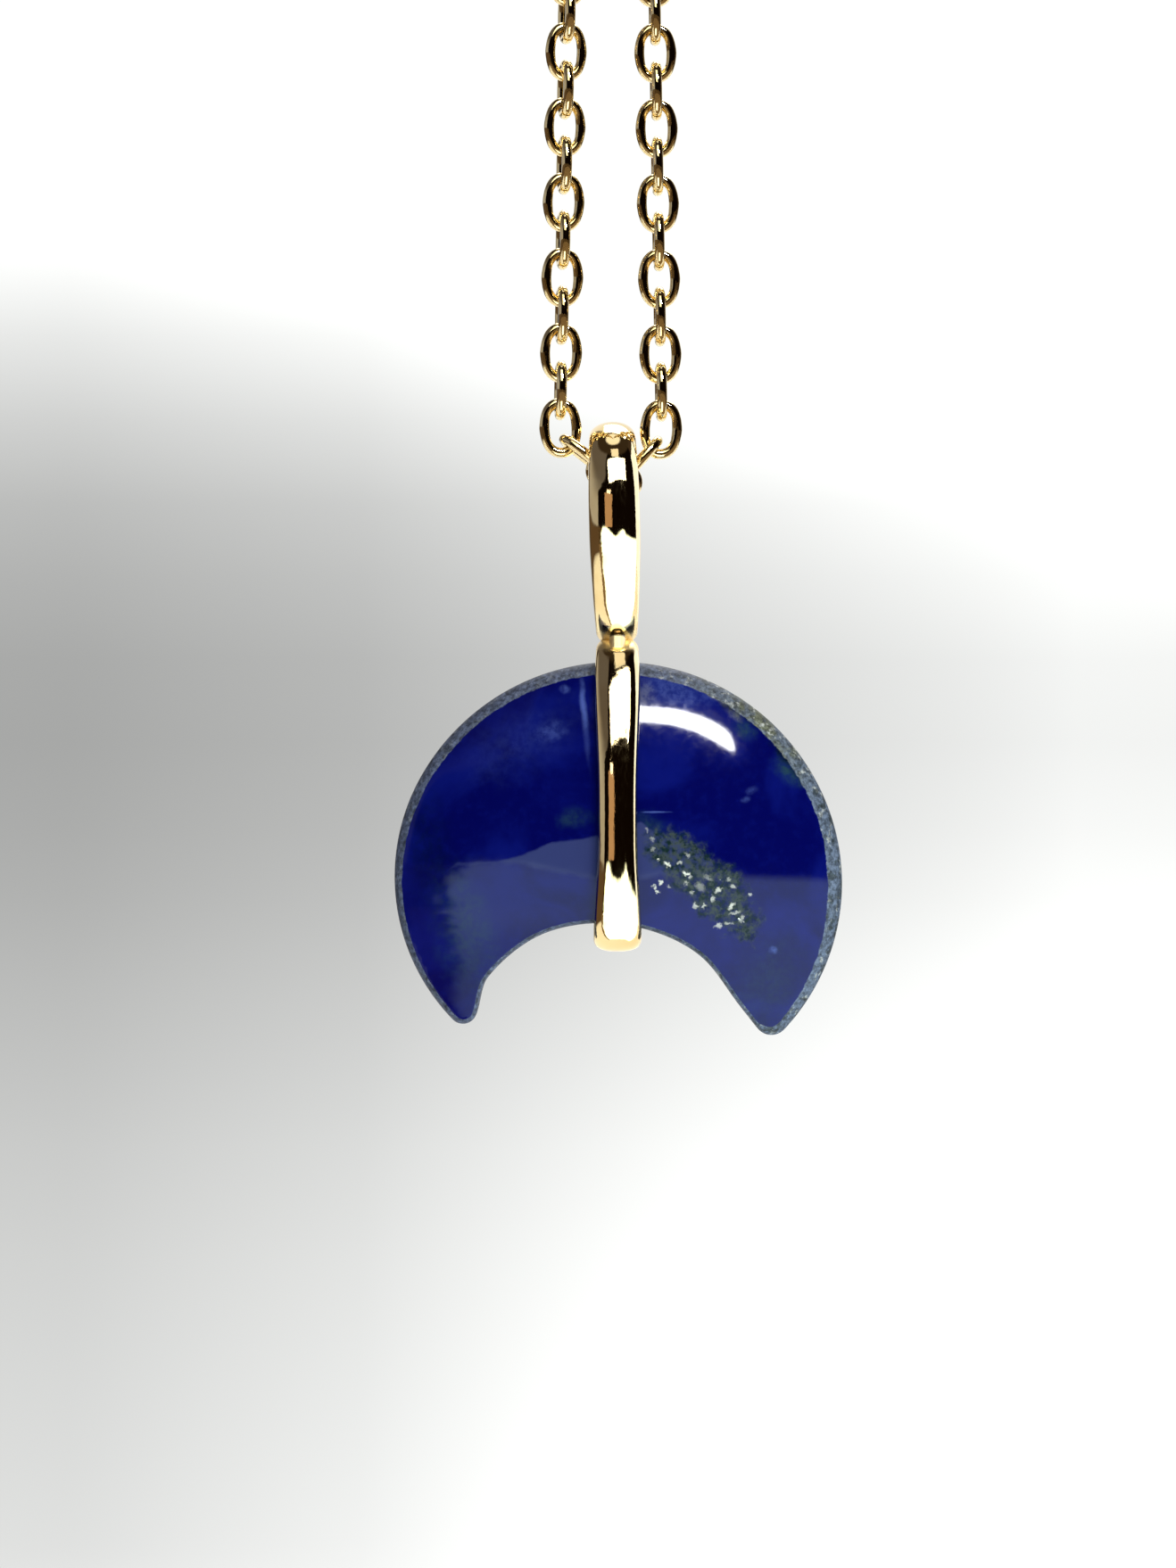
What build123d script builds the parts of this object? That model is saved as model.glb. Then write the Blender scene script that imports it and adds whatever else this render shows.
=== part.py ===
from build123d import *
import os
from math import atan2, cos, degrees, hypot, radians, sin, sqrt

os.makedirs("parts", exist_ok=True)

# Driving dimensions, in millimetres and degrees.
# The frame stands at the hang point, the inner top of the clasp's ring.
# +Z is up, +X is to the viewer's right and the viewer looks along +Y.

# Crescent stone, a disc with two domed faces and a bite out of its lower side
stone_radius = 7.58
stone_waist = 8.75  # from the top down to the bite's crest
stone_rim = 1.3  # thickness at the round edge
front_bulge = 1.8
back_bulge = 1.0
stone_edge = 0.3
left_tip_round = 0.48
right_tip_round = 0.6
left_flank_start = 150  # where the round top ends, in degrees from straight right
right_flank_start = 20
stone_across = 0.22  # the stone's middle, to the right of the hang point
stone_back = 0.27  # its rim, behind the hang point, so that the pendant hangs plumb

# Gold setting, half-round wire bent into two rings that are soldered together
ring_thickness = 0.72
ring_side = 0.2  # straight part of the wire's side, below its crown
ring_inner_round = 0.15
bail_height = 7.55
bail_depth = 4.8
bail_end_radius = 1.38
bail_width = 1.7
bail_lean = 1.4
band_width = 1.75
band_gap = 0.1
band_sag = 0.13  # further drop of the band below the bite's crest, clear of its slope
band_corner = 0.42
solder_overlap = 0.3

# Cable chain
loop_length = 406.4
link_length = 1.99
link_width = 1.4
wire = 0.31
link_clearance = 0.105
real_links = 14  # links of each strand that are modelled one by one
bail_play = 0.42  # gap between the bail and the link that it hangs on
low_link_lean = 3
left_slope = 38
left_twist = 4
left_twist_growth = 0.9
right_twist = 3
strand_away = 1.71  # half the distance between the strands at their lower ends
strand_narrowing = 0.0165  # how far each leans inwards for each millimetre upwards
strand_top = 0.95  # half the distance between them at the clasp
strand_end_gap = 0.12

# Spring-ring clasp and the jump ring that it holds
clasp_radius = 2.4
clasp_tube = 1.1
eyelet_radius = 0.65
eyelet_wire = 0.4
eyelet_sink = 0.3
end_ring_radius = 1.3
end_ring_wire = 0.45

# Outline of the crescent's bite, from the right horn's tip to the left one's.
# Each row is a place across and a drop below the bite's crest, as shares of the stone's radius.
bite_line = [
    (0.675, 0.540),
    (0.538, 0.366),
    (0.372, 0.153),
    (0.170, 0.042),
    (-0.079, 0.000),
    (-0.348, 0.058),
    (-0.570, 0.240),
    (-0.621, 0.398),
    (-0.649, 0.505),
]

# Widths of the gold rings seen from the front.
# Each row is a share of the ring's height from its top and a share of its full width.
bail_widths = [(-0.1, 0.88), (0.1, 0.93), (0.3, 1.0), (0.55, 1.0), (0.85, 0.88), (1.0, 0.78)]
band_widths = [(0.0, 0.80), (0.16, 0.89), (0.45, 0.76), (0.70, 0.75), (0.84, 0.86), (1.1, 1.0)]

# Chain sizes that follow from those above
pitch = link_length - 2 * wire - link_clearance
round_half = (link_width - wire) / 2
straight_half = (link_length - link_width) / 2
eye_reach = round_half + straight_half
edge_reach = 2 * (eye_reach + round_half - wire - link_clearance)
clasp_height = 2 * clasp_radius + clasp_tube
links_per_side = 2 * round((loop_length - clasp_height - pitch) / (4 * pitch))

# Heights at the clasp
clasp_z = clasp_tube / 2 - clasp_radius
tube_z = clasp_z - sqrt(clasp_radius**2 - strand_top**2)
tube_half_height = clasp_tube / 2 * clasp_radius / (clasp_z - tube_z)
eyelet_z = tube_z - tube_half_height + eyelet_sink - eyelet_radius
end_ring_z = tube_z + tube_half_height + link_clearance + end_ring_wire / 2 - end_ring_radius
left_top_z = eyelet_z - eyelet_radius + (eyelet_wire + wire) / 2 + link_clearance - eye_reach
right_top_z = end_ring_z - end_ring_radius + (end_ring_wire + wire) / 2 + link_clearance - eye_reach


def strand_foot(top_z, side):
    """Centre of a strand's lowest upright link, from the height of its top link."""
    return side * strand_away, top_z - (links_per_side - 2) * pitch


def strand_place(foot, rise):
    """Place on a strand's straight lower stretch, a rise above its lowest upright link."""
    side = 1 if foot[0] > 0 else -1
    return foot[0] - side * rise * strand_narrowing, foot[1] + rise


def along(point, angle, distance):
    """Point that lies a distance from another, at an angle from straight up."""
    return point[0] + distance * sin(radians(angle)), point[1] + distance * cos(radians(angle))


def meeting_point(a, b, reach_a, reach_b):
    """Lower point that lies one reach from a and another from b."""
    gap = hypot(b[0] - a[0], b[1] - a[1])
    way = ((b[0] - a[0]) / gap, (b[1] - a[1]) / gap)
    run = (gap**2 + reach_a**2 - reach_b**2) / (2 * gap)
    drop = sqrt(reach_a**2 - run**2)
    return a[0] + run * way[0] + drop * way[1], a[1] + run * way[1] - drop * way[0]


def link_between(low, high, twist):
    """Location of a link whose two joints are given."""
    lean = degrees(atan2(high[0] - low[0], high[1] - low[1]))
    return Location(((low[0] + high[0]) / 2, 0, (low[1] + high[1]) / 2), (0, lean, twist))


def strand_link(foot, number, twist):
    """Location of an upright link of a strand, the lowest being number 2."""
    low = strand_place(foot, (number - 2.5) * pitch)
    high = strand_place(foot, (number - 1.5) * pitch)
    return link_between(low, high, 90 * (number % 2) + twist)


# Joints of the five lowest links, of which the middle one lies in the bail.
# A face-on link turns about the centres of its two round ends.
left_foot = strand_foot(left_top_z, -1)
right_foot = strand_foot(right_top_z, 1)
left_upper = strand_place(left_foot, straight_half)
right_upper = strand_place(right_foot, straight_half)
left_joint = along(left_upper, 180 - low_link_lean, 2 * straight_half)
right_joint = along(right_upper, 180 + low_link_lean, 2 * straight_half)
left_inner = along(left_joint, 90 + left_slope, edge_reach)
right_inner = meeting_point(left_inner, right_joint, 2 * straight_half, edge_reach)
middle_z = (left_inner[1] + right_inner[1]) / 2

link_places = [
    link_between(left_inner, right_inner, 0),
    link_between(left_inner, left_joint, 90 + left_twist),
    link_between(right_inner, right_joint, 90 + right_twist),
    link_between(left_joint, left_upper, left_twist),
    link_between(right_joint, right_upper, right_twist),
]
for number in range(3, real_links + 1):
    link_places.append(strand_link(left_foot, number, left_twist + left_twist_growth * (number - 2)))
    link_places.append(strand_link(right_foot, number, right_twist))

# Heights and depths of the pendant, which hangs from the middle link
bail_top_z = middle_z + link_width / 2 + bail_play + ring_thickness
band_top_z = bail_top_z - bail_height + solder_overlap
stone_z = band_top_z - ring_thickness - band_gap - stone_radius
crest_z = stone_z + stone_radius - stone_waist
front_radius = (stone_radius**2 + front_bulge**2) / (2 * front_bulge)
back_radius = (stone_radius**2 + back_bulge**2) / (2 * back_bulge)
front_y = stone_back - stone_rim / 2 - front_bulge
back_y = stone_back + stone_rim / 2 + back_bulge
band_bottom_z = crest_z - band_gap - band_sag - ring_thickness


def bite_point(share):
    """Point of the bite from its shares of the stone's radius."""
    return stone_across + share[0] * stone_radius, crest_z - share[1] * stone_radius


def flank_start(angle):
    """Point of the round top where a flank starts, and the way it goes down from there."""
    side = 1 if angle < 90 else -1
    x = cos(radians(angle))
    z = sin(radians(angle))
    return (stone_across + stone_radius * x, stone_z + stone_radius * z), (side * z, -side * x)


def dome_drop(radius, z):
    """How far a dome's surface has fallen back from its crown at a height."""
    return radius - sqrt(radius**2 - (z - stone_z) ** 2)


def half_round_ring(opening, width, across):
    """Half-round wire bent round an opening, with its flat side inwards."""
    line = opening.sketch.face().outer_wire()
    start = line @ 0
    way = line % 0
    outward = way.cross(across).dot(start - line.center()) > 0
    with BuildSketch(Plane(origin=start, x_dir=across if outward else -across, z_dir=way)) as section:
        with BuildLine():
            Polyline((-width / 2, ring_side), (-width / 2, 0), (width / 2, 0), (width / 2, ring_side))
            EllipticalCenterArc((0, ring_side), width / 2, ring_thickness - ring_side, arc_size=180)
        make_face()
        fillet(section.vertices().sort_by(Axis.Y)[:2], ring_inner_round)
    sweep(section.sketch, path=line)


def trim_to_front(top, across, rows, width, height):
    """Narrows a ring to its widths seen from the front, from its top down to its height."""
    right = [(share * width / 2, -down * height) for down, share in rows]
    left = [(-x, z) for x, z in right]
    behind = top + Vector(0, height, 0)
    with BuildSketch(Plane(origin=behind, x_dir=across, z_dir=(0, -1, 0))) as outline:
        with BuildLine():
            Spline(right)
            Line(right[-1], left[-1])
            Spline(left)
            Line(left[0], right[0])
        make_face()
    extrude(outline.sketch, amount=2 * height, mode=Mode.INTERSECT)


# Stone
right_start, right_down = flank_start(right_flank_start)
left_start, left_down = flank_start(left_flank_start)
with BuildPart() as stone:
    with BuildSketch(Plane.XZ.offset(-2 * stone_radius)) as crescent:
        with BuildLine():
            ThreePointArc(right_start, (stone_across, stone_z + stone_radius), left_start)
            TangentArc(left_start, bite_point(bite_line[-1]), tangent=left_down)
            TangentArc(right_start, bite_point(bite_line[0]), tangent=right_down)
            Spline([bite_point(share) for share in bite_line])
        make_face()
        fillet(crescent.vertices().sort_by_distance(bite_point(bite_line[-1]))[0], left_tip_round)
        fillet(crescent.vertices().sort_by_distance(bite_point(bite_line[0]))[0], right_tip_round)
    extrude(amount=4 * stone_radius)
    with BuildSketch(Plane.YZ.offset(stone_across)):
        with BuildLine():
            wide_z = stone_z + stone_radius + band_gap
            front_rim = (front_y + dome_drop(front_radius, wide_z), wide_z)
            back_rim = (back_y - dome_drop(back_radius, wide_z), wide_z)
            Line(front_rim, back_rim)
            Line((front_y, stone_z), (back_y, stone_z))
            RadiusArc((front_y, stone_z), front_rim, front_radius)
            RadiusArc((back_y, stone_z), back_rim, -back_radius)
        make_face()
    revolve(axis=Axis((stone_across, 0, stone_z), (0, 1, 0)), mode=Mode.INTERSECT)
    fillet(stone.edges().filter_by(Axis.Y, reverse=True), stone_edge)
stone.part.label = "stone"
export_step(stone.part, "parts/stone.step")

# Bail, the upper ring of the setting, an oval of four arcs that leans a little to the left
bail_foot = (stone_across, 0, band_top_z - solder_overlap)
lean_across = Vector(cos(radians(bail_lean)), 0, sin(radians(bail_lean)))
lean_up = Vector(-sin(radians(bail_lean)), 0, cos(radians(bail_lean)))
bail_head = Vector(bail_foot) + lean_up * bail_height
bail_middle = bail_height / 2
inner_half_depth = bail_depth / 2 - ring_thickness
inner_half_height = bail_height / 2 - ring_thickness
end_rise = inner_half_height - bail_end_radius
side_radius = (inner_half_depth**2 + end_rise**2 - bail_end_radius**2) / (
    2 * (inner_half_depth - bail_end_radius)
)
side_back = side_radius - inner_half_depth
turn_y = side_radius * side_back / hypot(side_back, end_rise) - side_back
turn_z = side_radius * end_rise / hypot(side_back, end_rise)
with BuildPart() as bail:
    with BuildSketch(Plane(origin=bail_foot, x_dir=(0, 1, 0), z_dir=lean_across)) as bail_opening:
        with BuildLine():
            low = bail_middle - turn_z
            high = bail_middle + turn_z
            ThreePointArc((-turn_y, high), (0, bail_middle + inner_half_height), (turn_y, high))
            ThreePointArc((turn_y, high), (inner_half_depth, bail_middle), (turn_y, low))
            ThreePointArc((turn_y, low), (0, bail_middle - inner_half_height), (-turn_y, low))
            ThreePointArc((-turn_y, low), (-inner_half_depth, bail_middle), (-turn_y, high))
        make_face()
    half_round_ring(bail_opening, bail_width, lean_across)
    trim_to_front(bail_head, lean_across, bail_widths, bail_width, bail_height)

# Band, the lower ring of the setting, which follows the stone's faces at a small gap
high_z = stone_z + stone_radius + band_gap
low_z = crest_z - band_gap - band_sag
front_gap_radius = front_radius + band_gap
back_gap_radius = back_radius + band_gap
front_crown = front_y - band_gap
back_crown = back_y + band_gap
with BuildPart() as band:
    with BuildSketch(Plane.YZ.offset(stone_across)) as band_opening:
        with BuildLine():
            front_high = (front_crown + dome_drop(front_gap_radius, high_z), high_z)
            front_low = (front_crown + dome_drop(front_gap_radius, low_z), low_z)
            back_high = (back_crown - dome_drop(back_gap_radius, high_z), high_z)
            back_low = (back_crown - dome_drop(back_gap_radius, low_z), low_z)
            RadiusArc(front_low, front_high, front_gap_radius)
            Line(front_high, back_high)
            RadiusArc(back_high, back_low, back_gap_radius)
            Line(back_low, front_low)
        make_face()
        fillet(band_opening.vertices(), band_corner)
    half_round_ring(band_opening, band_width, Vector(1, 0, 0))
    band_head = Vector(stone_across, 0, band_top_z)
    trim_to_front(band_head, Vector(1, 0, 0), band_widths, band_width, band_top_z - band_bottom_z)

# Setting
with BuildPart() as setting:
    add(bail.part)
    add(band.part)
setting.part.label = "setting"
export_step(setting.part, "parts/setting.step")

# Link of the cable chain, upright and face on
with BuildPart() as link:
    with BuildLine(Plane.XZ) as link_line:
        Line((round_half, -straight_half), (round_half, straight_half))
        ThreePointArc(
            (round_half, straight_half), (0, straight_half + round_half), (-round_half, straight_half)
        )
        Line((-round_half, straight_half), (-round_half, -straight_half))
        ThreePointArc(
            (-round_half, -straight_half), (0, -straight_half - round_half), (round_half, -straight_half)
        )
    with BuildSketch(Plane.XY.offset(-straight_half)):
        with Locations((round_half, 0)):
            Circle(wire / 2)
    sweep()

# Links of the chain near the pendant
with BuildPart() as chain_links:
    with Locations(*link_places):
        add(link.part)
chain_links.part.label = "chain_links"
export_step(chain_links.part, "parts/chain_links.step")

# Strands, each the straight run of chain from the real links up to the clasp
strand_rise = (real_links - 2) * pitch + link_length / 2 + strand_end_gap
left_end_z = eyelet_z - eyelet_radius - eyelet_wire / 2 - strand_end_gap
right_end_z = end_ring_z - end_ring_radius - end_ring_wire / 2 - strand_end_gap
with BuildPart() as chain_strands:
    for foot, end_z in [(left_foot, left_end_z), (right_foot, right_end_z)]:
        side = 1 if foot[0] > 0 else -1
        x, z = strand_place(foot, strand_rise)
        with BuildLine(Plane.XZ) as strand_line:
            Line((x, z), (side * strand_top, end_z))
        with BuildSketch(Plane(origin=strand_line.line @ 0, z_dir=strand_line.line % 0)):
            Circle(link_width / 2)
        sweep()
chain_strands.part.label = "chain_strands"
export_step(chain_strands.part, "parts/chain_strands.step")

# Clasp, a ring with its eyelet soldered below
with BuildPart() as clasp:
    with Locations(Location((0, 0, clasp_z), (90, 0, 0))):
        Torus(clasp_radius, clasp_tube / 2)
    with Locations(Location((-strand_top, 0, eyelet_z), (0, 90, 0))):
        Torus(eyelet_radius, eyelet_wire / 2)
clasp.part.label = "clasp"
export_step(clasp.part, "parts/clasp.step")

# Jump ring on the right strand's end, hooked over the clasp's ring
with BuildPart() as end_ring:
    with Locations(Location((strand_top, 0, end_ring_z), (0, 90, 0))):
        Torus(end_ring_radius, end_ring_wire / 2)
end_ring.part.label = "end_ring"
export_step(end_ring.part, "parts/end_ring.step")
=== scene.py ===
"""Crescent moon pendant necklace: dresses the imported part, laid out as an add-on and run as a script."""

import cmath
import math
from types import SimpleNamespace

import bpy
import numpy as np
from mathutils import Matrix, Vector


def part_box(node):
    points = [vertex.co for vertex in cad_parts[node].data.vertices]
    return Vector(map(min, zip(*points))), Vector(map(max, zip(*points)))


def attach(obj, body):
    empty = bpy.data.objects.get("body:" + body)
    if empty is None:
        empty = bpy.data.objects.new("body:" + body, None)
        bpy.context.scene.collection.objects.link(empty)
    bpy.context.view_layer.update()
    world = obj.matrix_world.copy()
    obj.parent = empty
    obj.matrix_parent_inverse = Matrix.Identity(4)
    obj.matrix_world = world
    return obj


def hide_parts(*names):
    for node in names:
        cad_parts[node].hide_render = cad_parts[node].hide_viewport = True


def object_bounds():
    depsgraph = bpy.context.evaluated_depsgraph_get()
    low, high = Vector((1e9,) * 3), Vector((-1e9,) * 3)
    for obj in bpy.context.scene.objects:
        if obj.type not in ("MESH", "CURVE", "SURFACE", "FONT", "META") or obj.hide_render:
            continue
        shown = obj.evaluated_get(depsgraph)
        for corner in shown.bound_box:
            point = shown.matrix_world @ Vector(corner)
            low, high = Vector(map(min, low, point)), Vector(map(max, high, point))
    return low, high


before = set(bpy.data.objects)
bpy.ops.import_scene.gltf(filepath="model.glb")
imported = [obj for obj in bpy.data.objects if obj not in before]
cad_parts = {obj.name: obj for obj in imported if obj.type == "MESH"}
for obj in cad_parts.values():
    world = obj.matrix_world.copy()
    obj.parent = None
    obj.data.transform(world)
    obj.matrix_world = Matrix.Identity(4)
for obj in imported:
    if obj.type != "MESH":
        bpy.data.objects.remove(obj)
CAD_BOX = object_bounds()

bl_info = {
    "name": "Crescent pendant necklace",
    "version": (1, 0, 0),
    "blender": (4, 5, 0),
    "location": "View3D > Sidebar > Crescent Pendant",
    "description": "Models a polished lapis crescent in a gold setting on its cable chain",
    "category": "Add Mesh",
}

MM = 0.001

# The bite's outline from the right horn's tip to the left one's.
# Each row is a place across and a drop below the bite's crest, as shares of the stone's radius.
BITE_LINE = [
    (0.675, 0.540), (0.538, 0.366), (0.372, 0.153), (0.170, 0.042), (-0.079, 0.000), (-0.348, 0.058),
    (-0.570, 0.240), (-0.621, 0.398), (-0.649, 0.505),
]

# Widths of the two rings from their tops down.
# Each row is a share of the ring's height and a share of its full width.
BAIL_WIDTHS = [(-0.1, 0.88), (0.1, 0.93), (0.3, 1.0), (0.55, 1.0), (0.85, 0.88), (1.1, 0.72)]
BAND_WIDTHS = [(0.0, 0.80), (0.16, 0.89), (0.45, 0.76), (0.70, 0.75), (0.84, 0.86), (1.1, 1.0)]

# Greys of the backdrop's left edge, each a height above the horizon in degrees and a grey
BACKDROP_GREYS = [
    (-9.0, 0.80), (-7.2, 0.75), (-5.9, 0.70), (-4.6, 0.65), (-3.5, 0.597), (-2.7, 0.546), (-1.9, 0.497),
    (-1.1, 0.445), (-0.4, 0.413), (0.4, 0.392), (1.2, 0.402), (2.0, 0.451), (2.7, 0.509), (3.5, 0.644),
    (4.3, 0.82), (5.1, 1.05),
]

# How much brighter the backdrop grows to the right.
# Each row is a direction in degrees to the right of straight behind and a fifth of the multiple.
BACKDROP_GROWTH = [
    (-40, 0.2), (-4.9, 0.2), (-3.8, 0.217), (-2.2, 0.24), (1.8, 0.36), (3.7, 0.42), (4.7, 0.46), (40, 0.6),
]

# Upper edge of the glowing table that the stone and the setting mirror, on the camera's side.
# Each row is a direction in degrees to the right and a height above the horizon in degrees.
TABLE_LINE = [
    (-52, 3.0), (-43, 3.0), (-36, 4.6), (-26, 5.0), (-20, 4.6), (-14, 3.2), (-8, 2.0), (0, 0.4), (8, 2.0),
    (14, 3.2), (20, 4.4), (26, 3.2), (31, 1.5), (36, 1.2), (52, 0.6), (88, 0.6),
]
# In metres: where the table starts and ends, its height above the floor and half its edge's soft width
TABLE_START = 0.02
TABLE_REACH = 0.9
TABLE_LIFT = 0.001
TABLE_FADE = 0.012
TABLE_STRENGTH = 4.4
TABLE_GLOW = (0.58, 0.76, 0.86, 1)
TABLE_BROWN = (0.16, 0.11, 0.06, 1)
# Its left end: a swing in radians, which leans with the height above a depth below the stone's middle
TABLE_END = SimpleNamespace(swing=-0.715, lean=0.667, depth=0.047)

# The long window that the stone's shoulder mirrors, in tangents of the angles from straight ahead:
# its height, its two ends, where it bends, how it sags and widens from there, and its soft border
STRIP = SimpleNamespace(
    height=0.874, left=0.02, right=0.545, bend=0.25, sag=0.9, growth=0.055, border=(0.068, 0.056)
)

# Tones of the room that the world shows: the backdrop behind, and all that lies on the camera's side
ROOM_TONES = {
    "backdrop": (0.99, 1.0, 0.985, 1),
    "front": (0.004, 0.002, 0.001, 1),
    "window": (140.0, 140.0, 142.0, 1),
    "wall": (0.46, 0.46, 0.50, 1),
    "wall_top": (0.13, 0.12, 0.13, 1),
    "corner": (0.12, 0.08, 0.05, 1),
    "sides": (0.055, 0.038, 0.028, 1),
    "roof": (0.040, 0.028, 0.018, 1),
    "skylight": (1.2, 1.2, 1.2, 1),
}

# Where the soft light stands, in metres from the stone's middle
SOFT_LIGHT = (0.1, 0.35, 0.55)
SENSOR = 36

# Marks in the stone, two of them partly a painted reflection, seen from the front: the colour's name, place
# across and up from the stone's middle, half sizes, turn in degrees, softness of the border and strength.
MARKS_AND_PAINTED_REFLECTIONS = [
    ("pale", -2.2, 5.25, 0.55, 0.32, 20, 0.9, 0.35),
    ("pale", -1.76, 6.65, 0.17, 0.15, 0, 0.8, 0.5),
    ("pale", -3.2, 4.9, 2.0, 1.0, 30, 1.0, 0.10),
    ("moss", -1.45, 2.35, 0.55, 0.34, 10, 0.9, 0.5),
    ("moss", -5.1, -1.4, 0.95, 2.0, 10, 0.9, 0.45),
    ("moss", 5.75, 3.95, 0.6, 0.42, -45, 0.9, 0.9),
    ("moss", 4.25, 5.3, 0.45, 0.3, -35, 0.9, 0.75),
    ("shade", 4.0, 5.95, 0.85, 0.24, -37, 0.6, 1.0),
    ("shade", 5.85, 4.2, 0.95, 0.28, -46, 0.6, 1.0),
    ("calcite", 3.9, 5.8, 0.34, 0.14, -35, 0.9, 0.4),
    # Partly the stone's mottling, partly a painted reflection of the bright window above.
    ("pale", 2.0, 6.75, 1.3, 0.75, -15, 0.6, 0.40),
    ("calcite", 3.45, 6.55, 0.85, 0.28, -28, 0.7, 0.6),
    # Partly grey in the stone, partly a painted reflection of the bright window above, beside the band.
    ("calcite", 0.95, 6.3, 0.35, 0.6, 0, 0.9, 0.3),
    ("moss", 1.1, 1.9, 0.7, 0.5, -40, 0.9, 0.6),
    ("pale", 5.2, -2.09, 0.14, 0.12, 0, 0.8, 0.9),
    ("pale", 4.5, 3.25, 0.2, 0.12, 20, 0.9, 0.35),
    ("pale", 4.28, 2.95, 0.16, 0.1, 20, 0.9, 0.35),
    ("moss", 5.0, -3.2, 1.1, 1.6, -30, 1.0, 0.25),
    # Darker towards the stone's left edge.
    ("shade", -6.3, 0.9, 0.8, 2.6, 8, 1.0, 0.45),
]

# Patches in the same way, each with a place, half sizes, a turn and a softness.
# Each vein has a strength too. The first two are a painted reflection of the band's edge, a pale streak beside
# the band.
CLUSTER = (2.9, 0.2, 2.55, 0.95, -42, 0.25)
OLIVE = (4.6, 5.6, 2.6, 1.0, -42, 0.8)
VEINS_AND_BAND_REFLECTION = [
    # The first two rows are a painted reflection of the band's edge, not a vein.
    (-1.1, 5.75, 0.11, 1.45, 5, 0.95, 0.35),
    (-1.14, 6.1, 0.11, 0.7, 4, 0.9, 0.6),
    (1.25, 2.53, 0.45, 0.04, 0, 0.6, 0.6),
]
PATCH_DEPTH = 9.0

CLUSTER_TONES = ((0.003, 0.009, 0.008, 1), (0.021, 0.028, 0.026, 1))
RIM_TONES = {
    "dark": (0.012, 0.014, 0.024, 1),
    "right": (0.062, 0.078, 0.10, 1),
    "olive": (0.050, 0.053, 0.034, 1),
    "flecks": (0.17, 0.17, 0.155, 1),
    "blots": (0.014, 0.018, 0.018, 1),
}
STONE_BUMP = 0.00004

# Large metal specks of the cluster, from the stone's middle.
# Each row is a place across and up, a half length, a half width, a turn in degrees and a brightness.
SPECKS = [
    (1.67, 0.80, 0.14, 0.08, -30, 1.0), (2.31, 0.46, 0.19, 0.06, -25, 0.95),
    (1.38, 0.94, 0.06, 0.06, 0, 0.7), (2.07, 0.86, 0.09, 0.08, 20, 0.5),
    (2.33, 1.11, 0.12, 0.08, -50, 0.35), (1.45, 0.20, 0.10, 0.09, 0, 0.8),
    (1.24, 0.02, 0.07, 0.14, 15, 0.7), (1.33, -0.14, 0.13, 0.06, -20, 0.7),
    (1.72, 0.05, 0.10, 0.06, -40, 0.35), (2.28, 0.18, 0.09, 0.09, 0, 0.4),
    (2.45, -0.16, 0.10, 0.08, 0, 0.4), (2.59, -0.58, 0.11, 0.10, 0, 0.6),
    (2.85, -0.63, 0.10, 0.08, 20, 0.6), (3.36, -0.06, 0.16, 0.08, 30, 0.7),
    (3.16, -0.37, 0.13, 0.10, 50, 0.6), (3.80, -0.61, 0.20, 0.07, 50, 0.75),
    (3.83, 0.06, 0.13, 0.09, -20, 0.5), (3.69, 0.27, 0.10, 0.08, 0, 0.35),
    (4.43, -0.21, 0.09, 0.08, 0, 0.5), (3.90, -0.85, 0.22, 0.07, 15, 0.45),
    (4.15, -1.05, 0.07, 0.17, -20, 0.45), (3.70, -1.18, 0.17, 0.08, 0, 0.45),
    (3.36, -1.26, 0.15, 0.12, 0, 0.55), (1.16, 1.63, 0.10, 0.09, 0, 0.3), (1.16, 1.28, 0.09, 0.08, 0, 0.25),
    (0.98, 1.90, 0.07, 0.12, 0, 0.25), (3.0, 0.35, 0.20, 0.10, -30, 0.25),
    (2.75, 0.05, 0.22, 0.16, -40, 0.25),
]

# Upper and lower edges of the painted reflection of the glowing table, a milky area above the stone's lower
# half, from its middle.
# Each row is a place across, the upper edge's height and the lower edge's height.
PAINTED_REFLECTION_AREA = [
    (-8.0, -0.4, 0.55), (-5.95, -0.1, 0.60), (-5.7, 0.55, 0.65), (-5.36, 0.82, 0.785), (-4.0, 0.87, 0.844),
    (-3.1, 1.10, 0.785), (-2.17, 1.52, 0.579), (-1.24, 1.62, 0.403), (-0.77, 1.70, 0.314),
    (0.0, 1.90, 0.168), (0.76, 2.2, 0.312), (1.24, 1.85, 0.403), (2.17, 1.55, 0.579), (3.1, 0.95, 0.756),
    (3.4, 0.6, 0.8), (8.0, 0.0, 0.2),
]

# Depth of the gold's waves in metres, the stretch of its rubbed marks and its deeper tone's shares
GOLD_BUMP = 0.00008
RUBBED = (14.0, 14.0, 1.6)
WARM_SHARES = (0.93, 0.88, 0.8)
# Height of the painted shade's line in the crease above the joint's middle, and the painted shade's tone
CREASE_SHADE_RISE = 0.24
CREASE_SHADE_TONE = (0.045, 0.028, 0.012, 1)
FLOOR_GRAIN = (0.6, 0.61, 0.62, 1)

# Windows that only the setting mirrors, as seen from the stone's top: a name, swings to the right
# and rises in degrees, and a brightness for red, green and blue.
GOLD_WINDOWS = [
    ("gold_window", (-18, 44), (33.2, 49), (3.0, 3.1, 3.3)),
    ("gold_skylight", (-8, 24), (50.5, 66), (0.9, 0.9, 0.9)),
    ("gold_side", (86, 142), (-35, 40), (1.0, 1.15, 1.5)),
    ("gold_doorway", (-26, -6), (5, 24), (0.42, 0.27, 0.18)),
    ("gold_lamp", (-19, -9), (24, 26.5), (2.0, 1.8, 1.7)),
]
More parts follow.
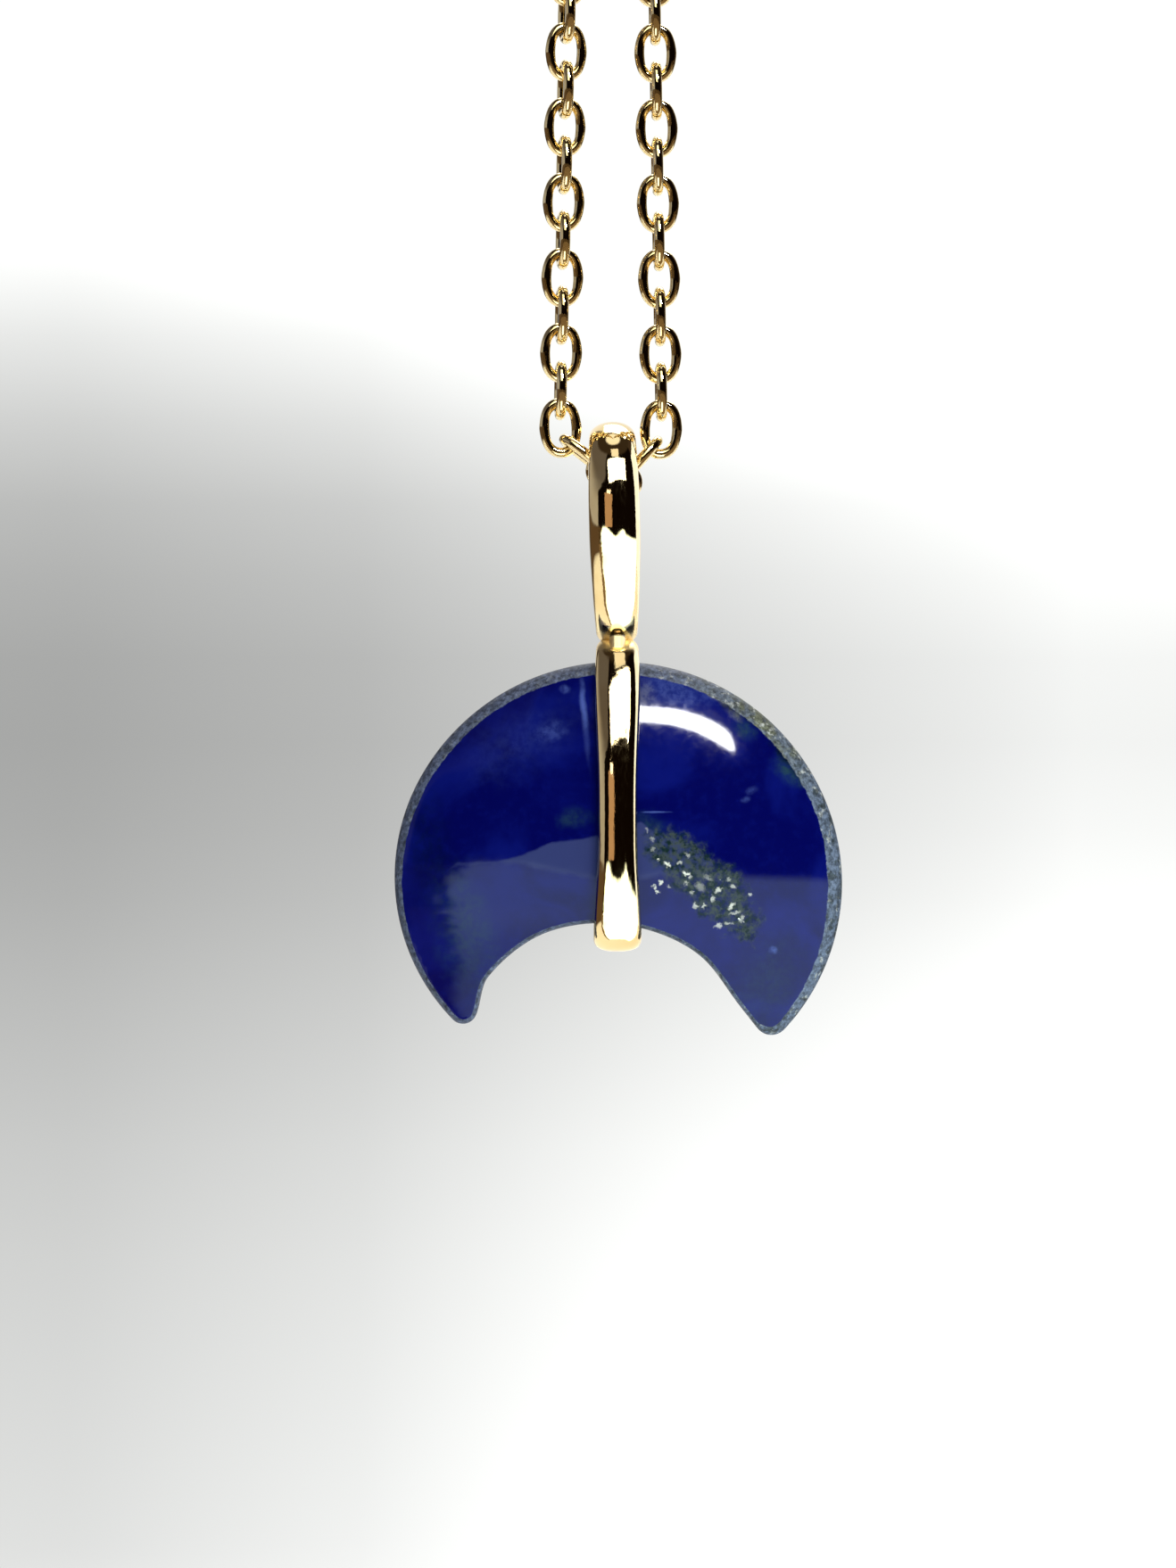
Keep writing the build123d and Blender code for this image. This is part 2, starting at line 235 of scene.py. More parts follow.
# Windows that only the chain mirrors. The lower one stands nearer, above the floor.
CHAIN_WINDOWS = [
    ("chain_below", (-22, 22), (-58, -20), (2.2, 2.3, 2.1), 0.09),
    ("chain_above", (-22, 22), (26, 62), (2.2, 2.2, 1.8)),
]
WINDOW_DISTANCE = 0.4
WINDOW_AHEAD = 0.002

# Width of the stone's ground rim round its outside.
# Each row is an angle in degrees from straight right and a width in millimetres.
RIM_WIDTHS = [
    (-90, 0.2), (-50, 0.28), (-20, 0.42), (0, 0.54), (45, 0.5), (90, 0.45), (135, 0.4), (180, 0.27),
    (215, 0.2), (270, 0.2),
]

# Steps by which the outline is inset before its face is gridded, for a smooth rounded edge
EDGE_INSETS = (0.012, 0.02, 0.035, 0.05, 0.06, 0.06)
# Points of the outline's first, fine line for each one that is kept
FINE_STEPS = 12
# Where the ground rim grows wide, as a share of the stone's radius, and over what share it does so
RIM_START = 0.86
RIM_GROWTH = 0.06
# Share of the bail's lower half that keeps its full depth
FOOT_START = 0.15
# Heights at which a link's straight sides are cut, as shares of their half length
LINK_CUTS = (-0.9, -0.45, 0, 0.45, 0.9)
# Shifts at which a ring's rows of widths are read and averaged, so that it narrows smoothly
WIDTH_SHIFTS = (-0.06, -0.03, 0, 0.03, 0.06)
# Steps of the half-round section's crown and of its inner corners
CROWN_STEPS = 20
CORNER_STEPS = 3
# How boxy the solder is from above, 1 being round
SOLDER_ROUND = 0.6


def length(name, description, millimetres):
    """A size property, kept in metres."""
    return bpy.props.FloatProperty(
        name=name, description=description, default=millimetres * MM, min=0, unit="LENGTH", precision=5
    )


def turn(name, description, degrees):
    """An angle property, kept in radians."""
    return bpy.props.FloatProperty(
        name=name, description=description, default=math.radians(degrees), unit="ROTATION"
    )


def ratio(name, description, value):
    """A plain number property."""
    return bpy.props.FloatProperty(name=name, description=description, default=value, min=0, precision=4)


def tally(name, description, value):
    """A whole number property."""
    return bpy.props.IntProperty(name=name, description=description, default=value, min=2, max=400)


def colour(name, description, value):
    """A colour property with alpha."""
    return bpy.props.FloatVectorProperty(
        name=name, description=description, default=(*value, 1), size=4, min=0, max=1, subtype="COLOR"
    )


class StoneSizes(bpy.types.PropertyGroup):
    """Sizes of the crescent."""

    radius: length("Radius", "Radius of the round top", 7.58)
    waist: length("Waist", "Height from the top down to the bite's crest", 8.75)
    rim: length("Rim", "Thickness at the round edge", 1.3)
    front_bulge: length("Front bulge", "Rise of the front's dome", 1.8)
    back_bulge: length("Back bulge", "Rise of the back's dome", 1.0)
    edge: length("Edge", "How far the faces fall back at their edges", 0.36)
    bite_edge: length("Bite edge", "Width of the rounding along the bite", 0.14)
    left_tip: length("Left tip", "Radius of the left horn's tip", 0.48)
    right_tip: length("Right tip", "Radius of the right horn's tip", 0.6)
    left_flank: turn("Left flank", "Where the round top ends on the left", 150)
    right_flank: turn("Right flank", "Where the round top ends on the right", 20)
    across: length("Across", "How far the middle lies to the right", 0.22)
    back: length("Back", "How far the rim lies behind the hang point", 0.27)
    outline_step: length("Outline step", "Distance between points of the outline", 0.09)
    face_step: length("Face step", "Distance between lines on the domes", 0.2)


class SettingSizes(bpy.types.PropertyGroup):
    """Sizes of the bail and the band."""

    thickness: length("Thickness", "Height of the half-round wire's section", 0.72)
    side: length("Side", "Straight part of the section's side", 0.2)
    inner_round: length("Inner round", "Rounding of the section's inner edges", 0.12)
    bail_height: length("Bail height", "Outer height of the bail", 7.55)
    bail_depth: length("Bail depth", "Outer depth of the bail", 4.8)
    bail_end: length("Bail end", "Inner radius of the bail's two ends", 1.38)
    bail_width: length("Bail width", "Full width of the bail", 1.7)
    foot_taper: ratio("Foot taper", "Share by which the bail's foot is narrower from front to back", 0.24)
    bail_flatness: ratio("Bail flatness", "Flatness of the bail's crown, 2 being an ellipse", 2.1)
    band_flatness: ratio("Band flatness", "Flatness of the band's crown, 2 being an ellipse", 2.7)
    bail_lean: turn("Bail lean", "Lean of the bail to the left", 1.4)
    band_width: length("Band width", "Full width of the band", 1.75)
    band_gap: length("Band gap", "Gap between the band and the stone", 0.1)
    band_sag: length("Band sag", "Further gap below the bite's crest", 0.13)
    band_corner: length("Band corner", "Inner radius of the band's corners", 0.42)
    overlap: length("Overlap", "Depth of the solder joint", 0.3)
    solder_width: length("Solder width", "Width of the solder across", 0.6)
    solder_depth: length("Solder depth", "Depth of the solder from front to back", 2.3)
    solder_height: length("Solder height", "Height of the solder", 0.5)


class ChainSizes(bpy.types.PropertyGroup):
    """Sizes of the cable chain and of how it hangs."""

    link_length: length("Link length", "Outer length of a link", 1.99)
    link_width: length("Link width", "Outer width of a link", 1.4)
    wire: length("Wire", "Diameter of the links' wire", 0.31)
    clearance: length("Clearance", "Gap between neighbouring links", 0.105)
    plump: length("Plump", "How much the polished wire swells past its plain radius", 0.02)
    oval: ratio("Oval", "How far a link narrows towards its ends", 0.09)
    oval_reach: ratio("Oval reach", "Share of the half length over which it narrows", 0.55)
    links_per_side: tally("Links", "Links of each strand", 158)
    near_links: tally("Near links", "Links of each strand with a fine mesh", 14)
    low_lean: turn("Low lean", "Lean of each strand's lowest upright link", 3)
    left_slope: turn("Left slope", "Slope of the left link that runs to the bail", 38)
    left_twist: turn("Left twist", "Turn of the left strand's lowest links", 4)
    left_growth: turn("Left growth", "Further turn of each link above", 0.9)
    right_twist: turn("Right twist", "Turn of the right strand's links", 3)
    away: length("Away", "Half the distance between the strands, low down", 1.71)
    narrowing: ratio("Narrowing", "How far a strand leans inwards for its rise", 0.0165)
    top: length("Top", "Half the distance between the strands at the clasp", 0.95)


class ClaspSizes(bpy.types.PropertyGroup):
    """Sizes of the spring ring and of the jump ring that it holds."""

    radius: length("Radius", "Radius of the spring ring's middle line", 2.4)
    tube: length("Tube", "Diameter of the spring ring's tube", 1.1)
    eyelet_radius: length("Eyelet radius", "Radius of the eyelet's middle line", 0.65)
    eyelet_wire: length("Eyelet wire", "Diameter of the eyelet's wire", 0.4)
    eyelet_sink: length("Eyelet sink", "Depth of the eyelet in the spring ring", 0.3)
    ring_radius: length("Jump ring radius", "Radius of the jump ring's middle line", 1.3)
    ring_wire: length("Jump ring wire", "Diameter of the jump ring's wire", 0.45)


class Finishes(bpy.types.PropertyGroup):
    """Colours of the stone and the metal."""

    lapis_deep: colour("Lapis deep", "Deepest blue of the stone", (0.0004, 0.0007, 0.034))
    lapis_bright: colour("Lapis bright", "Brighter blue of the stone", (0.0012, 0.0026, 0.058))
    # Also paints part of a reflection in a mark beside the band.
    calcite: colour("Calcite", "Grey patches of the stone", (0.115, 0.125, 0.13))
    moss: colour("Moss", "Dull green patches of the stone", (0.0085, 0.024, 0.027))
    # Also paints reflections: the pale streaks beside the band and part of a mark at the upper right.
    pale: colour("Pale", "Pale blue patches of the stone", (0.034, 0.052, 0.17))
    shade: colour("Shade", "Nearly black green streaks of the stone", (0.0005, 0.0022, 0.005))
    # Painted reflection: this milky blue stands in for the glowing table's reflection in the stone's lower
    # half.
    reflection_lilac: colour("Lilac", "Milky blue of the stone's lower half", (0.0155, 0.020, 0.064))
    rim: colour("Rim", "Ground rim of the stone", (0.042, 0.050, 0.075))
    pyrite: colour("Pyrite", "Metal specks in the stone", (0.38, 0.375, 0.31))
    gold: colour("Gold", "Polished gold", (0.90, 0.70, 0.36))
    chain_gold: colour("Chain gold", "Polished gold of the chain", (0.82, 0.67, 0.37))
    floor: colour("Floor", "Pale floor", (0.72, 0.73, 0.72))


class StageSizes(bpy.types.PropertyGroup):
    """Sizes of the floor and the camera's place."""

    drop: length("Drop", "How far the floor lies below the object", 80)
    floor_radius: length("Floor radius", "Radius of the floor", 520)
    distance: length("Distance", "Distance of the camera", 200)
    frame_height: length("Frame height", "Height of the picture at the object", 52.74)
    picture_left: length("Picture left", "How far the picture's middle lies to the left", 0.765)
    picture_down: length("Picture down", "How far the picture's middle lies below the bail's top", 12.18)


def sizes_of(name):
    """A property group's values as plain numbers, with lengths in millimetres."""
    group = getattr(bpy.context.scene, name)
    values = {}
    for key, prop in group.bl_rna.properties.items():
        if prop.type == "FLOAT" and not prop.is_array:
            values[key] = getattr(group, key) / MM if prop.unit == "LENGTH" else getattr(group, key)
        elif prop.type == "INT":
            values[key] = getattr(group, key)
    return SimpleNamespace(**values)


def object_mode():
    """Leaves edit mode and deselects everything."""
    if bpy.context.mode != "OBJECT":
        bpy.ops.object.mode_set(mode="OBJECT")
    bpy.ops.object.select_all(action="DESELECT")


def start_edit(kind="VERT"):
    """Opens the active piece for editing, with all of it selected."""
    bpy.ops.object.mode_set(mode="EDIT")
    bpy.ops.mesh.select_mode(type=kind)
    bpy.ops.mesh.select_all(action="SELECT")


def edit_points(piece, chosen):
    """Opens the active piece for editing, with the chosen points selected."""
    start_edit()
    bpy.ops.mesh.select_all(action="DESELECT")
    bpy.ops.object.mode_set(mode="OBJECT")
    piece.data.vertices.foreach_set("select", chosen)
    bpy.ops.object.mode_set(mode="EDIT")


def points_of(piece):
    """The mesh's points as rows of numbers."""
    flat = np.empty(len(piece.data.vertices) * 3)
    piece.data.vertices.foreach_get("co", flat)
    return flat.reshape(-1, 3)


def place_points(piece, points):
    """Gives the mesh's points new places."""
    piece.data.vertices.foreach_set("co", np.ascontiguousarray(points, dtype=float).ravel())
    piece.data.update()


def eased(shares):
    """Shares from 0 to 1, eased at both ends."""
    shares = np.clip(shares, 0, 1)
    return shares * shares * (3 - 2 * shares)


def close_and_face_outwards(merge=1e-4):
    """Merges doubles and turns all faces outwards."""
    start_edit()
    bpy.ops.mesh.remove_doubles(threshold=merge)
    bpy.ops.mesh.normals_make_consistent(inside=False)
    bpy.ops.object.mode_set(mode="OBJECT")


def pick(pieces):
    """Selects pieces and makes the first one active."""
    object_mode()
    for piece in pieces:
        piece.select_set(True)
    bpy.context.view_layer.objects.active = pieces[0]


def finish_piece(piece, name, body, material, node):
    """Brings a piece from millimetres to metres, names it and ties it to the frame."""
    pick([piece])
    piece.scale = (MM, MM, MM)
    bpy.ops.object.transform_apply()
    bpy.ops.object.shade_smooth()
    piece.name = name
    piece.data.name = name
    piece.data.materials.clear()
    piece.data.materials.append(material)
    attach(piece, body)
    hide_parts(node)


def join_pieces(pieces):
    """Joins pieces into the first."""
    pick(pieces)
    bpy.ops.object.join()
    return pieces[0]


# Stone


def arc_points(centre, radius, start, end, step):
    """Points of an arc from one angle to another, without its last."""
    count = max(2, round(abs(end - start) * radius / step))
    return [centre + cmath.rect(radius, start + (end - start) * i / count) for i in range(count)]


def short_arc(centre, start, end, step):
    """Points of the shorter arc round a centre from one point to another, without its last."""
    first, last = cmath.phase(start - centre), cmath.phase(end - centre)
    swing = (last - first + math.pi) % (2 * math.pi) - math.pi
    return arc_points(centre, abs(start - centre), first, first + swing, step)


def tangent_arc(start, way, end, step):
    """Points of the arc that leaves a point in a direction and ends at another."""
    across, chord = way * 1j, end - start
    radius = abs(chord) ** 2 / (2 * (chord * across.conjugate()).real)
    return short_arc(start + radius * across, start, end, step)


def smooth_line(knots, step):
    """Points of a smooth line through knots, without its last."""
    spans = [abs(b - a) for a, b in zip(knots, knots[1:])]
    slopes = []
    for i in range(len(knots)):
        a, b = max(i - 1, 0), min(i + 1, len(spans))
        slopes.append((knots[b] - knots[a]) / sum(spans[a:b]))
    points = []
    for i, span in enumerate(spans):
        count = max(2, round(span / step))
        for t in (j / count for j in range(count)):
            points.append(
                (2 * t**3 - 3 * t**2 + 1) * knots[i]
                + (t**3 - 2 * t**2 + t) * span * slopes[i]
                + (3 * t**2 - 2 * t**3) * knots[i + 1]
                + (t**3 - t**2) * span * slopes[i + 1]
            )
    return points


def round_tip(before, after, radius, step):
    """Joins two lines that meet at a horn's tip with an arc, and trims both."""
    line = np.array(after)
    for i in range(len(before) - 2, 0, -1):
        here, way = before[i], before[i + 1] - before[i]
        inward = way / abs(way) * 1j * radius
        for centre in (here + inward, here - inward):
            gaps = np.abs(line - centre)
            nearest = int(gaps.argmin())
            if gaps[nearest] >= radius and nearest > 0:
                return before[:i], short_arc(centre, here, after[nearest], step), after[nearest:]
    raise RuntimeError("the horn is too thin for its tip's radius")


def crescent_outline(sizes):
    """The crescent's outline seen from the front, as complex numbers in order round it."""
    middle = complex(sizes.across, middle_height(sizes))
    crest = middle + 1j * (sizes.radius - sizes.waist)
    bite = [crest + sizes.radius * complex(across, -drop) for across, drop in BITE_LINE]
    step = sizes.outline_step / FINE_STEPS
    top = arc_points(middle, sizes.radius, sizes.left_flank, sizes.right_flank, step)
    flanks = []
    for angle, way, end in ((sizes.right_flank, -1j, bite[0]), (sizes.left_flank, 1j, bite[-1])):
        out = cmath.rect(1, angle)
        flanks.append(tangent_arc(middle + sizes.radius * out, way * out, end, step))
    right_flank, right_tip, inner = round_tip(flanks[0], smooth_line(bite, step), sizes.right_tip, step)
    left_flank, left_tip, inner = round_tip(flanks[1], inner[::-1], sizes.left_tip, step)
    line = top + right_flank + right_tip + (left_flank + left_tip + inner)[::-1]
    closed = np.array(line + line[:1])
    runs = np.concatenate([[0], np.cumsum(np.abs(np.diff(closed)))])
    places = np.linspace(0, runs[-1], round(runs[-1] / sizes.outline_step), endpoint=False)
    return np.interp(places, runs, closed)


def distance_to_outline(points, outline):
    """How far each point seen from the front lies inside the outline."""
    flat = points[:, 0] + 1j * points[:, 2]
    best = np.full(len(flat), np.inf)
    for start, span in zip(outline, np.roll(outline, -1) - outline):
        share = np.clip(((flat - start) / span).real, 0, 1)
        best = np.minimum(best, np.abs(flat - start - share * span))
    return best


def middle_height(stone):
    """Height of the stone's middle."""
    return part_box("stone")[1].z / MM - stone.radius


def dome_radius(bulge, radius):
    """Radius of the ball that a dome is cut from."""
    return (radius**2 + bulge**2) / (2 * bulge)


def dome_drop(bulge, radius, spread):
    """How far a dome has fallen back from its crown at a distance from its middle."""
    ball = dome_radius(bulge, radius)
    return ball - np.sqrt(ball**2 - spread**2)


def build_stone(sizes):
    """Crescent: its outline is filled, inset for the rounded edge, gridded, made thick and domed."""
    outline = crescent_outline(sizes)
    object_mode()
    bpy.ops.mesh.primitive_circle_add(vertices=len(outline), radius=sizes.radius, fill_type="NGON")
    piece = bpy.context.object
    place_points(piece, np.column_stack([outline.real, np.zeros(len(outline)), outline.imag]))
    start_edit("FACE")
    for step in EDGE_INSETS:
        bpy.ops.mesh.inset(thickness=step, depth=0)
    bpy.ops.object.mode_set(mode="OBJECT")
    grid_face(piece, sizes)
    start_edit("FACE")
    bpy.ops.mesh.extrude_region_move(TRANSFORM_OT_translate={"value": (0, sizes.rim, 0)})
    bpy.ops.object.mode_set(mode="OBJECT")
    dome_faces(piece, sizes, outline)
    close_and_face_outwards(merge=1e-3)
    drop_materials(piece)
    return piece


def drop_materials(piece):
    """Takes the marking materials off a piece."""
    markers = list(piece.data.materials)
    piece.data.polygons.foreach_set("material_index", [0] * len(piece.data.polygons))
    piece.data.materials.clear()
    for marker in markers:
        bpy.data.materials.remove(marker)


def grid_face(piece, sizes):
    """Cuts the inner face along lines across and up, so that it can take the dome's shape."""
    face = max(piece.data.polygons, key=lambda polygon: polygon.area)
    piece.data.materials.append(bpy.data.materials.new("marker_rim"))
    piece.data.materials.append(bpy.data.materials.new("marker_face"))
    face.material_index = 1
    low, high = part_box("stone")
    for axis, way in ((0, (1, 0, 0)), (2, (0, 0, 1))):
        start = low[axis] / MM
        span = high[axis] / MM - start
        count = int(span / sizes.face_step)
        for i in range(1, count):
            place = [0, 0, 0]
            place[axis] = start + span * i / count
            piece.data.polygons.foreach_set("select", [p.material_index == 1 for p in piece.data.polygons])
            bpy.ops.object.mode_set(mode="EDIT")
            bpy.ops.mesh.bisect(plane_co=place, plane_no=way, threshold=1e-5)
            bpy.ops.object.mode_set(mode="OBJECT")


def rim_widths(points, sizes):
    """Width of the ground rim at points seen from the front: wide outside, narrow along the bite."""
    across, up = points[:, 0] - sizes.across, points[:, 2] - middle_height(sizes)
    angles = (np.degrees(np.arctan2(up, across)) + 90) % 360 - 90
    outside = np.interp(angles, *zip(*RIM_WIDTHS))
    blend = np.clip((np.hypot(across, up) / sizes.radius - RIM_START) / RIM_GROWTH, 0, 1)
    return sizes.bite_edge + (outside - sizes.bite_edge) * blend


def dome_faces(piece, sizes, outline):
    """Moves the two faces onto their domes, falling away towards the edge in a quarter round."""
    points = points_of(piece)
    spread = np.hypot(points[:, 0] - sizes.across, points[:, 2] - middle_height(sizes))
    places = distance_to_outline(points, outline) / rim_widths(points, sizes)
    inset = np.clip(places, 0, 1)
    fall = sizes.edge * (1 - np.sqrt(1 - (1 - inset) ** 2))
    front = points[:, 1] < sizes.rim / 2
    front_y = sizes.back - sizes.rim / 2 - sizes.front_bulge
    back_y = sizes.back + sizes.rim / 2 + sizes.back_bulge
    front_side = front_y + dome_drop(sizes.front_bulge, sizes.radius, spread) + fall
    back_side = back_y - dome_drop(sizes.back_bulge, sizes.radius, spread) - fall
    points[:, 1] = np.where(front, front_side, back_side)
    place_points(piece, points)
    rim = piece.data.attributes.new("rim_place", "FLOAT", "POINT")
    rim.data.foreach_set("value", np.minimum(places, 4))


# Setting


def half_round(width, sizes, flatness):
    """Half-round section: places across the ring and outwards from its inner face."""
    thickness, side, inner_round = sizes.thickness, sizes.side, sizes.inner_round
    section = []
    for i in range(CROWN_STEPS + 1):
        angle = math.pi * i / CROWN_STEPS
        across = math.copysign(abs(math.cos(angle)) ** (2 / flatness), math.cos(angle))
        up = math.sin(angle) ** (2 / flatness) if 0 < i < CROWN_STEPS else 0
        section.append((width / 2 * across, side + (thickness - side) * up))
    for sign in (-1, 1):
        corner = []
        for i in range(CORNER_STEPS + 1):
            angle = math.pi / 2 * i / CORNER_STEPS
            reach = width / 2 - inner_round + inner_round * math.cos(angle)
            corner.append((sign * reach, inner_round * (1 - math.sin(angle))))
        section += corner if sign < 0 else corner[::-1]
        if sign < 0:
            section += [(width / 2 * share, 0) for share in (-0.5, 0, 0.5)]
    return section


def start_ring(section, y, z):
    """Places the section at the top of a ring's opening."""
    object_mode()
    bpy.ops.mesh.primitive_circle_add(vertices=len(section), radius=1, fill_type="NOTHING")
    piece = bpy.context.object
    place_points(piece, np.array([(across, y, z + out) for across, out in section]))
    start_edit()
    return piece


def bend(centre, angle, steps):
    """Carries the section round a centre, from the top towards the back."""
    bpy.ops.mesh.spin(steps=steps, angle=angle, center=(0, *centre), axis=(1, 0, 0))


def straight(way, steps):
    """Carries the section straight on."""
    for _ in range(steps):
        step = tuple(value / steps for value in (0, *way))
        bpy.ops.mesh.extrude_region_move(TRANSFORM_OT_translate={"value": step})


def narrow_ring(piece, rows, top, height):
    """Narrows a ring across, following its rows of widths from its top down."""
    points = points_of(piece)
    downs = (top - points[:, 2]) / height
    places, shares = zip(*rows)
    points[:, 0] *= sum(np.interp(downs + shift, places, shares) for shift in WIDTH_SHIFTS) / len(WIDTH_SHIFTS)
    place_points(piece, points)


def build_bail(sizes):
    """Bail: half-round wire bent into an oval of four arcs."""
    section = half_round(sizes.bail_width, sizes, sizes.bail_flatness)
    half_depth = sizes.bail_depth / 2 - sizes.thickness
    half_height = sizes.bail_height / 2 - sizes.thickness
    rise = half_height - sizes.bail_end
    side_radius = (half_depth**2 + rise**2 - sizes.bail_end**2) / (2 * (half_depth - sizes.bail_end))
    side_back = side_radius - half_depth
    end_turn = math.atan2(side_back, rise)
    side_turn = math.pi - 2 * end_turn
    piece = start_ring(section, 0, half_height)
    bend((0, rise), end_turn, 14)
    bend((-side_back, 0), side_turn, 26)
    bend((0, -rise), 2 * end_turn, 28)
    bend((side_back, 0), side_turn, 26)
    bend((0, rise), end_turn, 14)
    bpy.ops.object.mode_set(mode="OBJECT")
    narrow_ring(piece, BAIL_WIDTHS, sizes.bail_height / 2, sizes.bail_height)
    return piece


def corner_of(dome_y, dome_radius, corner, line_z, middle_z, side, above):
    """Centre of the arc between a dome's line and a straight one, and how far round the dome it lies."""
    z = line_z - corner if above else line_z + corner
    away = math.sqrt((dome_radius - corner) ** 2 - (z - middle_z) ** 2)
    return (dome_y + side * away, z), math.atan2(away, z - middle_z)


def build_band(sizes, stone):
    """Band: half-round wire that follows the stone's top, back, bite and front at a small gap."""
    section = half_round(sizes.band_width, sizes, sizes.band_flatness)
    middle_z = middle_height(stone)
    top_z = middle_z + stone.radius + sizes.band_gap
    low_z = middle_z + stone.radius - stone.waist - sizes.band_gap - sizes.band_sag
    front_radius = dome_radius(stone.front_bulge, stone.radius)
    back_radius = dome_radius(stone.back_bulge, stone.radius)
    front_y = stone.back - stone.rim / 2 - stone.front_bulge + front_radius
    back_y = stone.back + stone.rim / 2 + stone.back_bulge - back_radius
    front_radius += sizes.band_gap
    back_radius += sizes.band_gap
    corner = sizes.band_corner
    back_high, back_turn = corner_of(back_y, back_radius, corner, top_z, middle_z, 1, True)
    back_low, back_end = corner_of(back_y, back_radius, corner, low_z, middle_z, 1, False)
    front_low, front_turn = corner_of(front_y, front_radius, corner, low_z, middle_z, -1, False)
    front_high, front_end = corner_of(front_y, front_radius, corner, top_z, middle_z, -1, True)
    piece = start_ring(section, 0, top_z)
    straight((back_high[0], 0), 3)
    bend(back_high, back_turn, 8)
    bend((back_y, middle_z), back_end - back_turn, 28)
    bend(back_low, math.pi - back_end, 8)
    straight((front_low[0] - back_low[0], 0), 10)
    bend(front_low, math.pi - front_turn, 8)
    bend((front_y, middle_z), front_turn - front_end, 28)
    bend(front_high, front_end, 8)
    straight((-front_high[0], 0), 3)
    bpy.ops.object.mode_set(mode="OBJECT")
    top = top_z + sizes.thickness
    narrow_ring(piece, BAND_WIDTHS, top, top - low_z + sizes.thickness)
    return piece, top


def build_solder(sizes, joint_z):
    """Solder that fills the crease between the bail and the band: a plug with flat sides."""
    object_mode()
    bpy.ops.mesh.primitive_uv_sphere_add(segments=48, ring_count=24, radius=1)
    plug = bpy.context.object
    points = points_of(plug)
    level = points[:, 2] / np.abs(points[:, 2]).max()
    around = np.arctan2(points[:, 1], points[:, 0])
    reach = np.minimum(2 * np.hypot(points[:, 0], points[:, 1]), 1)
    for axis, wave, size in ((0, np.cos(around), sizes.solder_width), (1, np.sin(around), sizes.solder_depth)):
        points[:, axis] = np.sign(wave) * np.abs(wave) ** SOLDER_ROUND * reach * size / 2
    points[:, 2] = joint_z + level * sizes.solder_height / 2
    place_points(plug, points)
    return plug


def build_setting(sizes, stone):
    """Setting: the bail stands on the band, joined by solder."""
    bail = build_bail(sizes)
    band, band_top = build_band(sizes, stone)
    foot_z = band_top - sizes.overlap
    points = points_of(bail)
    low = (-points[:, 2] / (sizes.bail_height / 2) - FOOT_START) / (1 - FOOT_START)
    points[:, 1] *= 1 - sizes.foot_taper * eased(low)
    points[:, 2] += sizes.bail_height / 2
    lean = Matrix.Rotation(-sizes.bail_lean, 3, "Y")
    points = points @ np.array(lean).T
    points += (stone.across, 0, foot_z)
    place_points(bail, points)
    solder = build_solder(sizes, band_top - sizes.overlap / 2)
    for part in (band, solder):
        moved = points_of(part)
        moved[:, 0] += stone.across
        place_points(part, moved)
    for part in (bail, band, solder):
        pick([part])
        close_and_face_outwards()
    return join_pieces([bail, band, solder])


# Chain


def build_link(sizes, major, minor):
    """Link: a torus stood face on and drawn out into a link with straight sides."""
    round_half = (sizes.link_width - sizes.wire) / 2
    straight_half = (sizes.link_length - sizes.link_width) / 2
    object_mode()
    bpy.ops.mesh.primitive_torus_add(
        major_radius=round_half,
        minor_radius=sizes.wire / 2 + sizes.plump,
        major_segments=major,
        minor_segments=minor,
        rotation=(math.pi / 2, 0, 0),
    )
    piece = bpy.context.object
    bpy.ops.object.transform_apply()
    turned = points_of(piece) @ np.array(Matrix.Rotation(math.pi / major, 3, "Y")).T
    place_points(piece, turned)
    for side in (1, -1):
        edit_points(piece, [side * point[2] > 0 for point in points_of(piece).tolist()])
        bpy.ops.transform.translate(value=(0, 0, side * straight_half))
        bpy.ops.object.mode_set(mode="OBJECT")
    for level in LINK_CUTS:
        start_edit()
        bpy.ops.mesh.bisect(plane_co=(0, 0, level * straight_half), plane_no=(0, 0, 1))
        bpy.ops.object.mode_set(mode="OBJECT")
    points = points_of(piece)
    rise = np.abs(points[:, 2]) / (sizes.link_length / 2) / sizes.oval_reach
    points[:, 0] *= 1 - sizes.oval * eased(rise)
    place_points(piece, points)
    return piece


